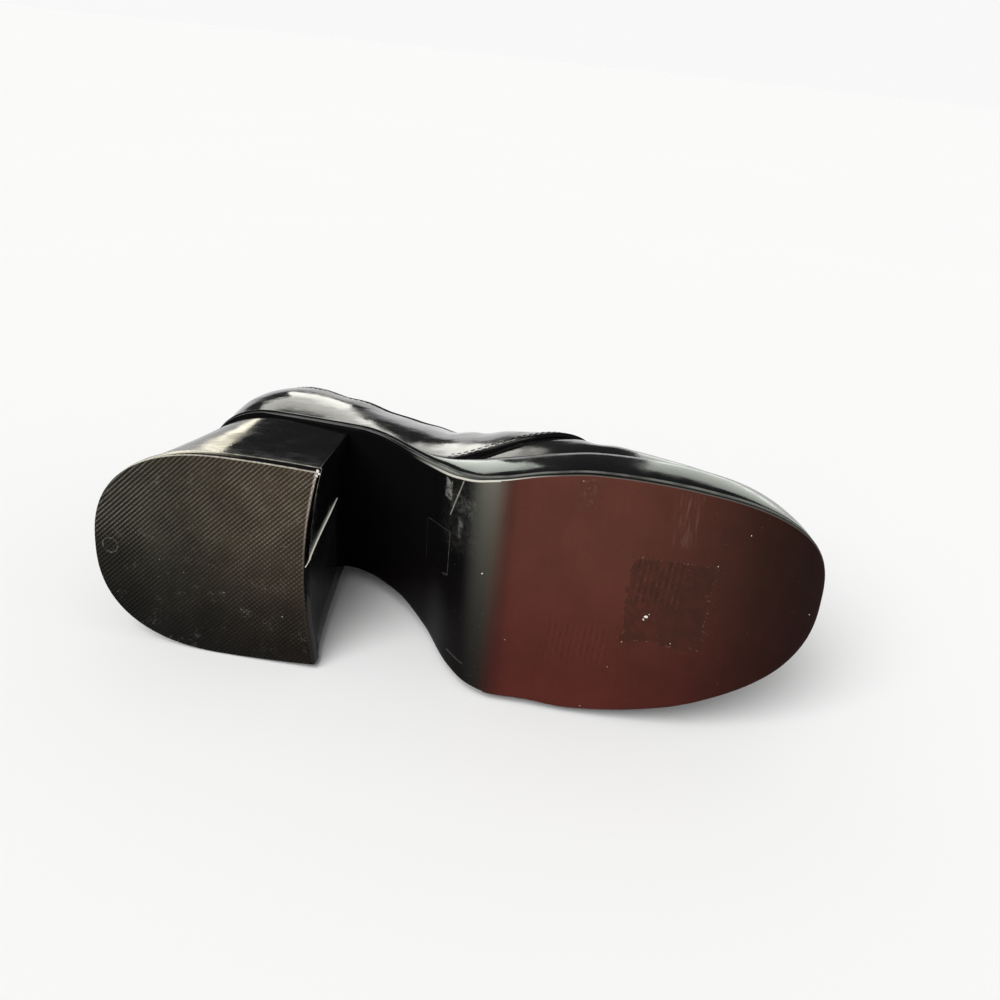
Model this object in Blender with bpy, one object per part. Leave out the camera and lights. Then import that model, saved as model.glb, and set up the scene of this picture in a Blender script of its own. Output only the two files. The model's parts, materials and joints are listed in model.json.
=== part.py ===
"""Platform derby shoe for the left foot, with a block heel and open lacing.

The shoe is drawn standing: X runs from the back of the heel to the toe, Y to the lateral (outer) side
and Z up from the ground. Sizes are millimetres until the end, where every piece is turned to metres.
Last of all the shoe is laid on its lateral side, on the flat of its hull under its centre of mass.
"""
import math

import bmesh
import bpy
from mathutils import Matrix, Vector

MM = 0.001
GAP = 0.3                     # free gap between two pieces that touch
LATERAL, MEDIAL = 1, -1       # sides of the foot, as signs of Y

# --- driving sizes ------------------------------------------------------------------------------

TOE_X = 263.0                 # tip of the outsole
TOE_FROM = 180.0              # the round of the toe starts here
TOE_SETBACK = 5.5             # the platform's top edge lies this far behind the tip of the outsole
SEAT_BACK_X = 9.0             # back of the sole above the heel
SEAT_ROUND_TO = 44.0          # the round of the seat ends here
SEAT_UNDER_Z = 76.5           # underside of the sole at the back of the seat
SEAT_SLOPE = 0.197            # fall of the seat for each millimetre forward
SEAT_THICK = 6.5              # outsole and platform together, at the seat
BREAST_X = 84.0               # the flat seat ends here

OUTSOLE_THICK = 3.4
INSOLE_THICK = 2.2
TOP_PIECE_THICK = 6.0

UPPER_INSET = 2.6             # upper's foot behind the edge of the platform
WALL = 2.0                    # wall of the upper
QUARTER_THICK = 1.3
QUARTER_GAP = 0.65            # both skins are faceted
TONGUE_THICK = 2.4
COLLAR_END_X = 119.0          # top of the facings
THROAT_X = 173.0              # front end of the upper's throat
QUARTER_FOOT_X = 120.0        # the quarter's front curve leaves the feather line here
QUARTER_TIP_X = 184.0         # front end of the facings
TOE_BOX_ROUND = 13.0          # how far the front of the toe box rounds back
TOE_BOX_FROM = 200.0

EYELET_ROWS = 5
EYELET_FIRST_X, EYELET_LAST_X = 172.0, 124.0
EYELET_SET_IN = 7.5           # eyelet's centre from the edge of the facing
EYELET_RADIUS, EYELET_HOLE, EYELET_HEIGHT = 3.4, 1.9, 0.8
EYELET_GAP = 0.5              # the ring is flat and the leather is curved
LACE_RADIUS = 1.2

MIDDLE_FROM, MIDDLE_TO, MIDDLE_STEP = 46, 214, 7
END_STEPS = 8                 # sections in each end round
WALL_ROWS = 8                 # rows of each side of the upper and of the quarters

# Footprint of the sole: centre line and half width. The end rounds are worked out from these.
FOOTPRINT = (
    # x, centre, half
    (9.0, 0.5, 31.5),
    (45.0, -0.5, 31.8),
    (90.0, -1.8, 31.2),
    (105.0, -0.9, 31.2),
    (120.0, 0.4, 33.4),
    (135.0, 0.8, 38.1),
    (150.0, 0.1, 41.7),
    (165.0, -1.7, 43.5),
    (180.0, -2.4, 45.0),
    (200.0, -3.6, 45.0),
    (220.0, -5.3, 45.0),
    (240.0, -6.9, 45.0),
    (263.0, -8.2, 45.0),
)

# Side view of the sole in front of the seat: its underside and the feather line on top of it.
PROFILE = (
    # x, under, feather
    (84.0, 61.7, 68.2),
    (92.0, 57.0, 63.5),
    (105.0, 46.5, 54.0),
    (120.0, 29.5, 41.8),
    (133.0, 11.0, 34.0),
    (143.0, 2.4, 30.6),
    (152.0, 0.0, 28.9),
    (165.0, 0.0, 28.0),
    (215.0, 0.0, 28.0),
    (235.0, 2.5, 30.0),
    (250.0, 6.0, 33.0),
    (263.0, 11.5, 37.5),
)

# The last above the feather line: crown of the section, swell of its sides, lean of its crown and
# fullness of the section, from 1.5 (peaked) to 2.4 (round and square-shouldered).
LAST = (
    # x, crown, swell, lean, fullness
    (9.0, 200.0, 2.6, 0.0, 2.4),
    (45.0, 188.0, 2.4, 0.0, 2.2),
    (65.0, 176.0, 1.8, 0.0, 1.85),
    (85.0, 163.0, 1.0, 0.0, 1.5),
    (95.0, 157.0, 0.8, 0.0, 1.5),
    (106.0, 149.0, 0.8, -0.5, 1.65),
    (118.0, 138.0, 1.0, -1.0, 1.9),
    (130.0, 124.0, 1.2, -1.5, 2.1),
    (145.0, 106.5, 1.2, -2.5, 2.25),
    (160.0, 91.5, 1.0, -3.5, 2.3),
    (175.0, 79.5, 0.8, -4.0, 2.25),
    (190.0, 71.0, 0.8, -3.5, 2.15),
    (210.0, 64.0, 0.6, -2.0, 2.1),
    (235.0, 58.0, 0.4, -1.0, 2.1),
    (260.0, 51.5, 0.4, 0.0, 2.1),
)

# Height of the collar's edge, from the back to the top of the facings.
COLLAR = (
    # x, height
    (9.0, 139.0),
    (25.0, 134.0),
    (45.0, 125.5),
    (62.0, 120.5),
    (80.0, 118.0),
    (92.0, 120.0),
    (103.0, 126.5),
    (112.0, 133.5),
    (122.0, 140.0),
)

# Heel outlines, from the ground up: back, half width, centre, corner and middle of the breast.
HEEL_GROUND = {"back": 1.0, "half": 39.2, "centre": 2.7, "corner": 85.5, "breast": 81.0}
HEEL_SEAT = {"back": 9.8, "half": 31.2, "centre": -0.9, "corner": 78.0, "breast": 76.5}
HEEL_ROUND_TO = 52.0
HEEL_NARROWING = 1.0          # each side draws in this much from its widest place to the breast

# Wall of the platform, from its foot to its top edge: part of the height, and stand-out.
PLATFORM_WALL = (
    # part, out
    (0.0, -0.8),
    (0.05, 0.1),
    (0.35, 0.6),
    (0.7, 0.4),
    (0.93, -0.3),
    (1.0, -1.3),
)

# Density of each kind of piece, for the centre of mass.
DENSITY = {"rubber": 1.15e-6, "sole": 1.1e-6, "heel": 0.65e-6, "platform": 0.4e-6, "leather": 0.9e-6,
           "board": 0.5e-6, "metal": 7.0e-6, "lace": 1.0e-6}


# --- curves -------------------------------------------------------------------------------------

def smooth(table, column, x):
    """Monotone cubic through one column of a table, level past its ends."""
    if x <= table[0][0]:
        return table[0][column]
    if x >= table[-1][0]:
        return table[-1][column]
    k = max(i for i, row in enumerate(table) if row[0] <= x)
    xs = [row[0] for row in table]
    ys = [row[column] for row in table]

    def rise(i):
        return (ys[i + 1] - ys[i]) / (xs[i + 1] - xs[i])

    def slope(i):
        if i == 0:
            return rise(0)
        if i == len(table) - 1:
            return rise(i - 1)
        before, after = rise(i - 1), rise(i)
        return 0.0 if before * after <= 0 else 2 * before * after / (before + after)

    width = xs[k + 1] - xs[k]
    u = (x - xs[k]) / width
    return ((2 * u**3 - 3 * u**2 + 1) * ys[k] + (u**3 - 2 * u**2 + u) * width * slope(k)
            + (3 * u**2 - 2 * u**3) * ys[k + 1] + (u**3 - u**2) * width * slope(k + 1))


def ease(low, high, x):
    """0 up to low, 1 from high, smooth between."""
    u = min(1.0, max(0.0, (x - low) / (high - low)))
    return u * u * (3 - 2 * u)


def round_end(u, flat, full):
    """Part of the full width left at u, where the round starts at 0 and closes at 1."""
    u = min(1.0, max(0.0, u))
    return (1 - u**flat) ** (1 / full)


def stations(back, front):
    """Sections from back to front: shared steps along the middle, closer together at the end rounds."""
    middle = [x for x in range(MIDDLE_FROM, MIDDLE_TO + 1, MIDDLE_STEP) if back < x < front]
    shares = [1 - math.cos(0.5 * math.pi * k / END_STEPS) for k in range(END_STEPS)]
    heel = [back + (MIDDLE_FROM - back) * share for share in shares]
    toe = [front - (front - middle[-1]) * share for share in reversed(shares)]
    return heel + middle + toe


def under_z(x):
    """Underside of the outsole."""
    if x <= BREAST_X:
        return SEAT_UNDER_Z - SEAT_SLOPE * (x - SEAT_BACK_X)
    return smooth(PROFILE, 1, x)


def feather_z(x):
    """Top of the platform, where the upper stands."""
    if x <= BREAST_X:
        return under_z(x) + SEAT_THICK
    return smooth(PROFILE, 2, x)


def outsole_top_z(x):
    """The outsole keeps its thickness square to its slope."""
    step = 0.5
    slope = (under_z(x + step) - under_z(x - step)) / (2 * step)
    return under_z(x) + OUTSOLE_THICK * math.hypot(1.0, slope)


def half_width(x, inset, toe_x=TOE_X, back_x=SEAT_BACK_X):
    """Half of the footprint at x, drawn in by inset all round."""
    half = smooth(FOOTPRINT, 2, x) - inset
    if x > TOE_FROM:
        return half * round_end((x - TOE_FROM) / (toe_x - inset - TOE_FROM), 1.8, 2.74)
    if x < SEAT_ROUND_TO:
        return half * round_end((SEAT_ROUND_TO - x) / (SEAT_ROUND_TO - back_x - inset), 2.4, 2.4)
    return half


def centre_y(x):
    return smooth(FOOTPRINT, 1, x)


# --- the last -----------------------------------------------------------------------------------

UPPER_TOE_X = TOE_X - TOE_SETBACK
LAST_BACK_X = SEAT_BACK_X + UPPER_INSET
LAST_TOE_X = UPPER_TOE_X - UPPER_INSET


def drawn_in(x, inset):
    """The same place along a skin that lies inset inside the last."""
    return x + inset * (1 - 2 * (x - LAST_BACK_X) / (LAST_TOE_X - LAST_BACK_X))


def last_size(x, inset):
    """Half width and height of the last's section at x; a skin keeps its depth on the steep instep."""
    half = half_width(x, UPPER_INSET + inset, toe_x=UPPER_TOE_X)
    step = 2.0
    slope = (smooth(LAST, 1, x + step) - smooth(LAST, 1, x - step)) / (2 * step)
    return half, smooth(LAST, 1, x) - feather_z(x) - inset * math.hypot(1.0, slope)


def last_point(x, turn, side, inset):
    """Point of the last: turn is 0 at the feather line and 90 degrees at the crown."""
    x = drawn_in(x, inset)
    half, height = last_size(x, inset)
    fullness = smooth(LAST, 4, x)
    up = math.sin(turn) ** (2 / fullness) if turn > 0 else 0.0
    across = math.cos(turn) ** (2 / fullness) if turn < math.pi / 2 else 0.0
    rise = height * up
    swell = smooth(LAST, 2, x) * math.sin(math.pi * min(1.0, rise / 60.0)) * min(1.0, half / 20.0)
    y = centre_y(x) + side * (half * across + swell * across) + smooth(LAST, 3, x) * up
    back_curve = (-2.6 * math.sin(math.pi * min(1.0, rise / 48.0)) + 5.0 * ease(30.0, 62.0, rise))
    toe_curve = TOE_BOX_ROUND * (1 - math.sqrt(max(0.0, 1 - up * up)))
    along = back_curve * (1 - ease(SEAT_BACK_X, 60.0, x)) - toe_curve * ease(TOE_BOX_FROM, 258.0, x)
    return Vector((x + along, y, feather_z(x) + GAP + rise))


def turn_at_rise(x, rise):
    """Turn at which the section stands this high above the feather line."""
    part = min(1.0, max(0.0, rise / last_size(x, 0.0)[1]))
    return math.asin(part ** (smooth(LAST, 4, x) / 2))


def turn_at_reach(x, reach):
    """Turn at which the section is this far from its middle."""
    part = min(1.0, max(0.0, reach / max(last_size(x, 0.0)[0], 0.001)))
    return math.acos(part ** (smooth(LAST, 4, x) / 2))


def facing_gap(x):
    """Half of the opening between the facings."""
    return 5.0 + 4.0 * (THROAT_X - x) / (THROAT_X - COLLAR_END_X)


def top_turn(x):
    """Edge of the collar and of the throat, or the crown where the upper is closed."""
    if x >= THROAT_X:
        return math.pi / 2
    collar_turn = turn_at_rise(x, smooth(COLLAR, 1, x) - feather_z(x))
    if x < BREAST_X:
        return collar_turn
    throat = math.sqrt(max(0.0, 1 - ((x - THROAT_X + 10.0) / 10.0) ** 2)) if x > THROAT_X - 10.0 else 1.0
    gap_turn = turn_at_reach(x, facing_gap(x) * throat)
    return gap_turn if x >= COLLAR[-1][0] else min(gap_turn, collar_turn)


def quarter_low_turn(x):
    """Front curve of the quarter, from the feather line up to the tip of the facing."""
    u = (x - QUARTER_FOOT_X) / (QUARTER_TIP_X - QUARTER_FOOT_X)
    return quarter_top_turn(x) * (1 - round_end(u, 1.7, 1.9))


def quarter_top_turn(x):
    if x >= COLLAR_END_X:
        return turn_at_reach(x, max(3.0, facing_gap(x)))
    return top_turn(x)


# --- mesh helpers -------------------------------------------------------------------------------

def material(name, colour, roughness, metallic=0.0):
    mat = bpy.data.materials.get(name) or bpy.data.materials.new(name)
    mat.use_nodes = True
    shader = mat.node_tree.nodes["Principled BSDF"]
    shader.inputs["Base Color"].default_value = (*colour, 1.0)
    shader.inputs["Roughness"].default_value = roughness
    shader.inputs["Metallic"].default_value = metallic
    return mat


def add_object(name, bm, mat):
    """Object from a bmesh, shaded smooth with its sharp edges marked."""
    bmesh.ops.recalc_face_normals(bm, faces=bm.faces)
    bmesh.ops.scale(bm, vec=(MM, MM, MM), verts=bm.verts)
    mesh = bpy.data.meshes.new(name)
    bm.to_mesh(mesh)
    bm.free()
    mesh.shade_smooth()
    mesh.set_sharp_from_angle(angle=math.radians(35))
    mesh.materials.append(mat)
    obj = bpy.data.objects.new(name, mesh)
    bpy.context.scene.collection.objects.link(obj)
    return obj


def loft(rings):
    """Closed solid through rings of equal point counts, with flat ends."""
    bm = bmesh.new()
    loops = [[bm.verts.new(point) for point in ring] for ring in rings]
    count = len(loops[0])
    for lower, upper in zip(loops, loops[1:]):
        for k in range(count):
            n = (k + 1) % count
            bm.faces.new((lower[k], lower[n], upper[n], upper[k]))
    bm.faces.new(list(reversed(loops[0])))
    bm.faces.new(loops[-1])
    return bm


def sheet_solid(faces, outer, inner):
    """Solid between two skins that share their faces; their borders are joined by a rim.

    Four-sided faces are split along the same corners in each skin and each piece, so that skins
    drawn through the same sections keep their distance.
    """
    bm = bmesh.new()
    out = {key: bm.verts.new(point) for key, point in outer.items()}
    ins = {key: bm.verts.new(point) for key, point in inner.items()}
    border = set()
    for face in faces:
        for corners in ([face[0], face[1], face[2]], [face[0], face[2], face[-1]])[:len(face) - 2]:
            bm.faces.new([out[key] for key in corners])
            bm.faces.new([ins[key] for key in reversed(corners)])
        for a, b in zip(face, face[1:] + face[:1]):
            if (b, a) in border:
                border.remove((b, a))
            else:
                border.add((a, b))
    for a, b in sorted(border):
        bm.faces.new((out[b], out[a], ins[a], ins[b]))
    return bm


def clean_face(keys):
    """A face without doubled corners, or none if fewer than three are left."""
    kept = [key for i, key in enumerate(keys) if key != keys[i - 1]]
    return kept if len(kept) > 2 else None


def two_sided_sheet(xs, rows, low, high, shut_back, shut_front, insets):
    """Faces and skins of a wall round the last, from low to high turn, on both sides of the foot.

    The sides share their points at a shut end, and along the crown where the wall reaches it.
    """
    faces, skins = [], [{}, {}]
    last = len(xs) - 1

    def key(i, j, side):
        crown = j == rows and high(xs[i]) >= math.pi / 2 - 1e-6
        ended = (i == 0 and shut_back) or (i == last and shut_front)
        tip = i == last and not shut_front
        return (i, 0 if tip else j, 0 if crown or ended else side)

    for side in (LATERAL, MEDIAL):
        for i, x in enumerate(xs):
            for j in range(rows + 1):
                turn = low(x) + (high(x) - low(x)) * j / rows
                for skin, inset in zip(skins, insets):
                    skin[key(i, j, side)] = last_point(x, turn, side, inset)
        for i in range(last):
            for j in range(rows):
                corners = [key(i, j, side), key(i + 1, j, side), key(i + 1, j + 1, side), key(i, j + 1, side)]
                face = clean_face(corners if side == MEDIAL else corners[::-1])
                if face:
                    faces.append(face)
    return faces, skins[0], skins[1]


def tongue_point(x, part, reach, inset):
    """Point of the tongue; part runs across from 1 to -1. It opens flatter above the facings."""
    side = LATERAL if part >= 0 else MEDIAL
    crown = last_point(x, math.pi / 2, side, inset)
    point = last_point(x, turn_at_reach(x, abs(part) * reach), side, inset)
    flatter = 0.6 * (1 - ease(COLLAR_END_X - 21.0, COLLAR_END_X - 10.0, x))
    point.z += flatter * (crown.z - point.z)
    return point


# --- sole and heel ------------------------------------------------------------------------------

END_CUT = 0.05                # an end round stops this short of its tip


def sole_ring(x, wall, low_z, high_z, setback):
    """Section across the sole: up the lateral wall and down the medial one."""
    def corner(part, out, side):
        place = x - setback * part * ease(TOE_FROM + 20.0, TOE_X, x)
        y = centre_y(x) + side * (half_width(x, 0.0) + out)
        return Vector((place, y, low_z(place) + (high_z(place) - low_z(place)) * part))

    lateral = [corner(part, out, LATERAL) for part, out in wall]
    medial = [corner(part, out, MEDIAL) for part, out in reversed(wall)]
    return lateral + medial


def make_outsole(mat):
    wall = ((0.0, -0.5), (0.15, 0.0), (0.85, 0.0), (1.0, -0.5))
    xs = stations(SEAT_BACK_X + END_CUT, TOE_X - END_CUT)
    rings = [sole_ring(x, wall, under_z, outsole_top_z, 0.0) for x in xs]
    return add_object("outsole", loft(rings), mat)


def make_platform(mat):
    xs = stations(SEAT_BACK_X + END_CUT, TOE_X - END_CUT)
    rings = [sole_ring(x, PLATFORM_WALL, lambda at: outsole_top_z(at) + GAP, feather_z, TOE_SETBACK)
             for x in xs]
    return add_object("platform", loft(rings), mat)


def heel_ring(sizes, height, inset=0.0):
    """D-shaped outline of the heel; height gives Z for each X."""
    round_steps, breast_steps = 15, 6
    centre, half = sizes["centre"], sizes["half"] - inset
    corner, breast, back = sizes["corner"] - inset, sizes["breast"] - inset, sizes["back"] + inset

    def side_points(side):
        points = []
        for k in range(3, 0, -1):
            points.append((HEEL_ROUND_TO + (corner - HEEL_ROUND_TO) * k / 3,
                           centre + side * (half - HEEL_NARROWING * (k / 3) ** 2)))
        for k in range(round_steps + 1):
            u = math.sin(0.5 * math.pi * k / round_steps)
            points.append((HEEL_ROUND_TO - (HEEL_ROUND_TO - back) * u,
                           centre + side * half * round_end(u, 2.4, 2.4)))
        return points

    outline = side_points(LATERAL) + side_points(MEDIAL)[-2::-1]
    for k in range(1, breast_steps):
        v = 2 * k / breast_steps - 1
        outline.append((breast + (corner - breast) * v * v, centre + (half - HEEL_NARROWING) * v))
    return [Vector((x, y, height(x))) for x, y in outline]


def make_heel_top_piece(mat):
    edge = 0.5
    levels = ((0.0, edge), (edge, 0.0), (TOP_PIECE_THICK - edge, 0.0), (TOP_PIECE_THICK, edge))
    rings = [heel_ring(HEEL_GROUND, lambda x, z=z: z, inset) for z, inset in levels]
    return add_object("heel_top_piece", loft(rings), mat)


def make_heel_block(mat):
    foot = TOP_PIECE_THICK + GAP
    rings = []
    for part in (0.0, 0.01, 0.12, 0.25, 0.4, 0.55, 0.7, 0.85, 1.0):
        eased = part ** 0.75
        sizes = {name: HEEL_GROUND[name] + (HEEL_SEAT[name] - HEEL_GROUND[name]) * eased
                 for name in HEEL_GROUND}
        inset = 0.8 if part == 0.0 else 0.2
        rings.append(heel_ring(sizes, lambda x, t=part: foot + (under_z(x) - GAP - foot) * t, inset))
    return add_object("heel_block", loft(rings), mat)


def make_insole(mat):
    inset = UPPER_INSET + WALL + 0.6
    columns = 2
    xs = stations(SEAT_BACK_X + inset + END_CUT, UPPER_TOE_X - inset - END_CUT)
    top, foot = {}, {}
    for i, x in enumerate(xs):
        for j in range(columns + 1):
            y = centre_y(x) + half_width(x, inset, toe_x=UPPER_TOE_X) * (1 - 2 * j / columns)
            foot[(i, j)] = Vector((x, y, feather_z(x) + GAP))
            top[(i, j)] = foot[(i, j)] + Vector((0.0, 0.0, INSOLE_THICK))
    faces = [[(i, j), (i, j + 1), (i + 1, j + 1), (i + 1, j)]
             for i in range(len(xs) - 1) for j in range(columns)]
    return add_object("insole", sheet_solid(faces, top, foot), mat)


# --- upper --------------------------------------------------------------------------------------

def make_upper(mat):
    xs = stations(LAST_BACK_X, LAST_TOE_X)
    sheet = two_sided_sheet(xs, WALL_ROWS, lambda x: 0.0, top_turn, True, True, (0.0, WALL))
    return add_object("upper", sheet_solid(*sheet), mat)


def make_quarters(mat):
    xs = stations(LAST_BACK_X, QUARTER_TIP_X)
    skins = (-QUARTER_GAP - QUARTER_THICK, -QUARTER_GAP)
    sheet = two_sided_sheet(xs, WALL_ROWS, lambda x: max(0.0, quarter_low_turn(x)), quarter_top_turn,
                            True, False, skins)
    return add_object("quarters", sheet_solid(*sheet), mat)


def make_tongue(mat):
    front, top, count, columns = THROAT_X + 4.0, 101.0, 17, 6
    round_from = top + 9.0
    under = WALL + 1.5
    skins, insets = [{}, {}], (under, under + TONGUE_THICK)
    for i in range(count):
        x = front + (top - front) * i / (count - 1)
        reach = 15.0 - 2.5 * (front - x) / (front - top)
        if x < round_from:
            reach *= 1 - 0.4 * ((round_from - x) / (round_from - top)) ** 2
        for j in range(columns + 1):
            for skin, inset in zip(skins, insets):
                skin[(i, j)] = tongue_point(x, 1 - 2 * j / columns, reach, inset)
    faces = [[(i, j), (i, j + 1), (i + 1, j + 1), (i + 1, j)]
             for i in range(count - 1) for j in range(columns)]
    return add_object("tongue", sheet_solid(faces, *skins), mat)


# --- lacing -------------------------------------------------------------------------------------

def eyelet_turn(x):
    """Turn of an eyelet: its distance from the facing's edge, measured round the section."""
    edge = turn_at_reach(x, facing_gap(x))
    turn, length, step = edge, 0.0, math.radians(0.5)
    while length < EYELET_SET_IN:
        here = last_point(x, turn, LATERAL, 0.0)
        turn -= step
        length += (last_point(x, turn, LATERAL, 0.0) - here).length
    return turn


def facing_normal(x, turn, side):
    """Outward normal of the last, from its neighbours along and round."""
    step = 0.02
    along = last_point(x + 1.0, turn, side, 0.0) - last_point(x - 1.0, turn, side, 0.0)
    round_it = last_point(x, turn + step, side, 0.0) - last_point(x, turn - step, side, 0.0)
    normal = along.cross(round_it) * (-side)
    return normal.normalized()


def eyelet_places():
    """Place, normal and name of each eyelet, from the vamp up."""
    places = []
    for row in range(EYELET_ROWS):
        x = EYELET_FIRST_X + (EYELET_LAST_X - EYELET_FIRST_X) * row / (EYELET_ROWS - 1)
        turn = eyelet_turn(x)
        for side, word in ((LATERAL, "lateral"), (MEDIAL, "medial")):
            normal = facing_normal(x, turn, side)
            foot = last_point(x, turn, side, 0.0) + normal * (QUARTER_GAP + QUARTER_THICK + EYELET_GAP)
            reach = side * last_size(x, 0.0)[0] * math.cos(turn) ** (2 / smooth(LAST, 4, x))
            places.append({"row": row, "side": side, "x": x, "reach": reach, "foot": foot,
                           "normal": normal, "name": f"eyelet_{word}_{row + 1}"})
    return places


def stand_on(place):
    """Matrix that puts a piece drawn along Z on a place of the facing."""
    turned = place["normal"].to_track_quat("Z", "Y").to_matrix().to_4x4()
    return Matrix.Translation(place["foot"] * MM) @ turned


def make_eyelet(place, mat):
    bm = bmesh.new()
    profile = ((EYELET_RADIUS, 0.0), (EYELET_RADIUS - 0.3, EYELET_HEIGHT),
               (EYELET_HOLE + 0.3, EYELET_HEIGHT), (EYELET_HOLE, 0.0))
    verts = [bm.verts.new((r, 0.0, z)) for r, z in profile]
    edges = [bm.edges.new((verts[i], verts[(i + 1) % 4])) for i in range(4)]
    bmesh.ops.spin(bm, geom=verts + edges, cent=(0, 0, 0), axis=(0, 0, 1), angle=math.tau, steps=10,
                   use_merge=True)
    bmesh.ops.remove_doubles(bm, verts=bm.verts, dist=0.001)
    obj = add_object(place["name"], bm, mat)
    obj.matrix_world = stand_on(place)
    return obj


def cut_eyelet_holes(places, targets):
    """Holes under the eyelets, through the quarters and the upper."""
    bm = bmesh.new()
    for place in places:
        drill = stand_on(place)
        drill.translation /= MM
        bmesh.ops.create_cone(bm, cap_ends=True, segments=10, radius1=EYELET_HOLE + 0.4,
                              radius2=EYELET_HOLE + 0.4, depth=5.0,
                              matrix=drill @ Matrix.Translation((0.0, 0.0, -3.0)))
    cutter = add_object("eyelet_holes_cutter", bm, targets[0].data.materials[0])
    cutter.hide_render = True
    cutter.display_type = "WIRE"
    for target in targets:
        cut = target.modifiers.new("eyelet_holes", "BOOLEAN")
        cut.object = cutter
        cut.operation = "DIFFERENCE"
    return cutter


def tube(points, radius, sides=5):
    """Round cord through points, with flat ends."""
    rings = []
    for i, point in enumerate(points):
        ahead = points[min(i + 1, len(points) - 1)] - points[max(i - 1, 0)]
        turned = ahead.to_track_quat("Z", "Y").to_matrix()
        rings.append([point + turned @ Vector((radius * math.cos(math.tau * k / sides),
                                               radius * math.sin(math.tau * k / sides), 0.0))
                      for k in range(sides)])
    return loft(rings)


def lace_run(start, end):
    """Points of one crossing, over the facings from one eyelet to another."""
    count, over = 6, 0.06
    lift = QUARTER_GAP + QUARTER_THICK + EYELET_GAP + EYELET_HEIGHT + LACE_RADIUS + 2 * GAP
    points = []
    for k in range(count + 1):
        part = -over + (1 + 2 * over) * k / count
        x = start["x"] + (end["x"] - start["x"]) * part
        signed = start["reach"] + (end["reach"] - start["reach"]) * part
        side = LATERAL if signed >= 0 else MEDIAL
        points.append(last_point(x, turn_at_reach(x, abs(signed)), side, -lift))
    return points


def make_lace(places, mat):
    """Crossings of the lace joined into one solid, clear of the eyelets."""
    pair = {(place["row"], place["side"]): place for place in places}
    runs = [(pair[0, LATERAL], pair[0, MEDIAL])]
    for row in range(EYELET_ROWS - 1):
        runs.append((pair[row, LATERAL], pair[row + 1, MEDIAL]))
        runs.append((pair[row, MEDIAL], pair[row + 1, LATERAL]))
    lace = add_object("lace", tube(lace_run(*runs[0]), LACE_RADIUS), mat)
    pieces = [lace]
    for number, run in enumerate(runs[1:], 1):
        crossing = add_object(f"lace_crossing_{number}", tube(lace_run(*run), LACE_RADIUS), mat)
        crossing.hide_render = True
        crossing.display_type = "WIRE"
        join = lace.modifiers.new(f"crossing_{number}", "BOOLEAN")
        join.object = crossing
        join.operation = "UNION"
        pieces.append(crossing)
    return pieces


# --- resting on the lateral side ----------------------------------------------------------------

def world_mesh(obj):
    """Evaluated mesh of an object, in the world."""
    shown = obj.evaluated_get(bpy.context.evaluated_depsgraph_get())
    bm = bmesh.new()
    bm.from_mesh(shown.to_mesh())
    shown.to_mesh_clear()
    bm.transform(obj.matrix_world)
    bmesh.ops.triangulate(bm, faces=bm.faces)
    return bm


def centre_of_mass(weighed):
    """Centre of mass of closed meshes, each with its density."""
    total, moment = 0.0, Vector()
    for bm, density in weighed:
        for face in bm.faces:
            a, b, c = (vert.co for vert in face.verts)
            mass = density * a.dot(b.cross(c)) / 6
            total += mass
            moment += mass * (a + b + c) / 4
    return moment / total


def resting_face(weighed):
    """Outward normal of the lateral hull face that lies under the centre of mass."""
    centre = centre_of_mass(weighed)
    hull = bmesh.new()
    for bm, _density in weighed:
        for vert in bm.verts:
            hull.verts.new(vert.co)
    made = bmesh.ops.convex_hull(hull, input=hull.verts)
    faces = [item for item in made["geom"] if isinstance(item, bmesh.types.BMFace)]
    found = []
    for face in faces:
        normal = face.normal if face.normal.dot(face.verts[0].co - centre) > 0 else -face.normal
        if normal.y < 0.8:
            continue
        foot = centre + normal * normal.dot(face.verts[0].co - centre)
        corners = [vert.co for vert in face.verts]
        turns = [(b - a).cross(foot - a).dot(normal) for a, b in zip(corners, corners[1:] + corners[:1])]
        if all(turn >= 0 for turn in turns) or all(turn <= 0 for turn in turns):
            found.append((normal.dot(face.verts[0].co - centre), normal.copy()))
    hull.free()
    return min(found, key=lambda item: item[0])[1]


def lay_on_side(pieces):
    """Turn the shoe on to its lateral side and bring the foot of its box to the origin."""
    bpy.context.view_layer.update()
    weighed = [(world_mesh(obj), density) for obj, density in pieces]
    up = -resting_face(weighed)
    along = Vector((1, 0, 0))
    along = (along - up * along.dot(up)).normalized()
    turned = Matrix((along, up.cross(along), up)).to_4x4()
    points = [turned @ vert.co for bm, _density in weighed for vert in bm.verts]
    low = Vector(min(point[axis] for point in points) for axis in range(3))
    high = Vector(max(point[axis] for point in points) for axis in range(3))
    for bm, _density in weighed:
        bm.free()
    shift = -Vector(((low.x + high.x) / 2, (low.y + high.y) / 2, low.z))
    return Matrix.Translation(shift) @ turned


# --- the shoe -----------------------------------------------------------------------------------

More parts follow.
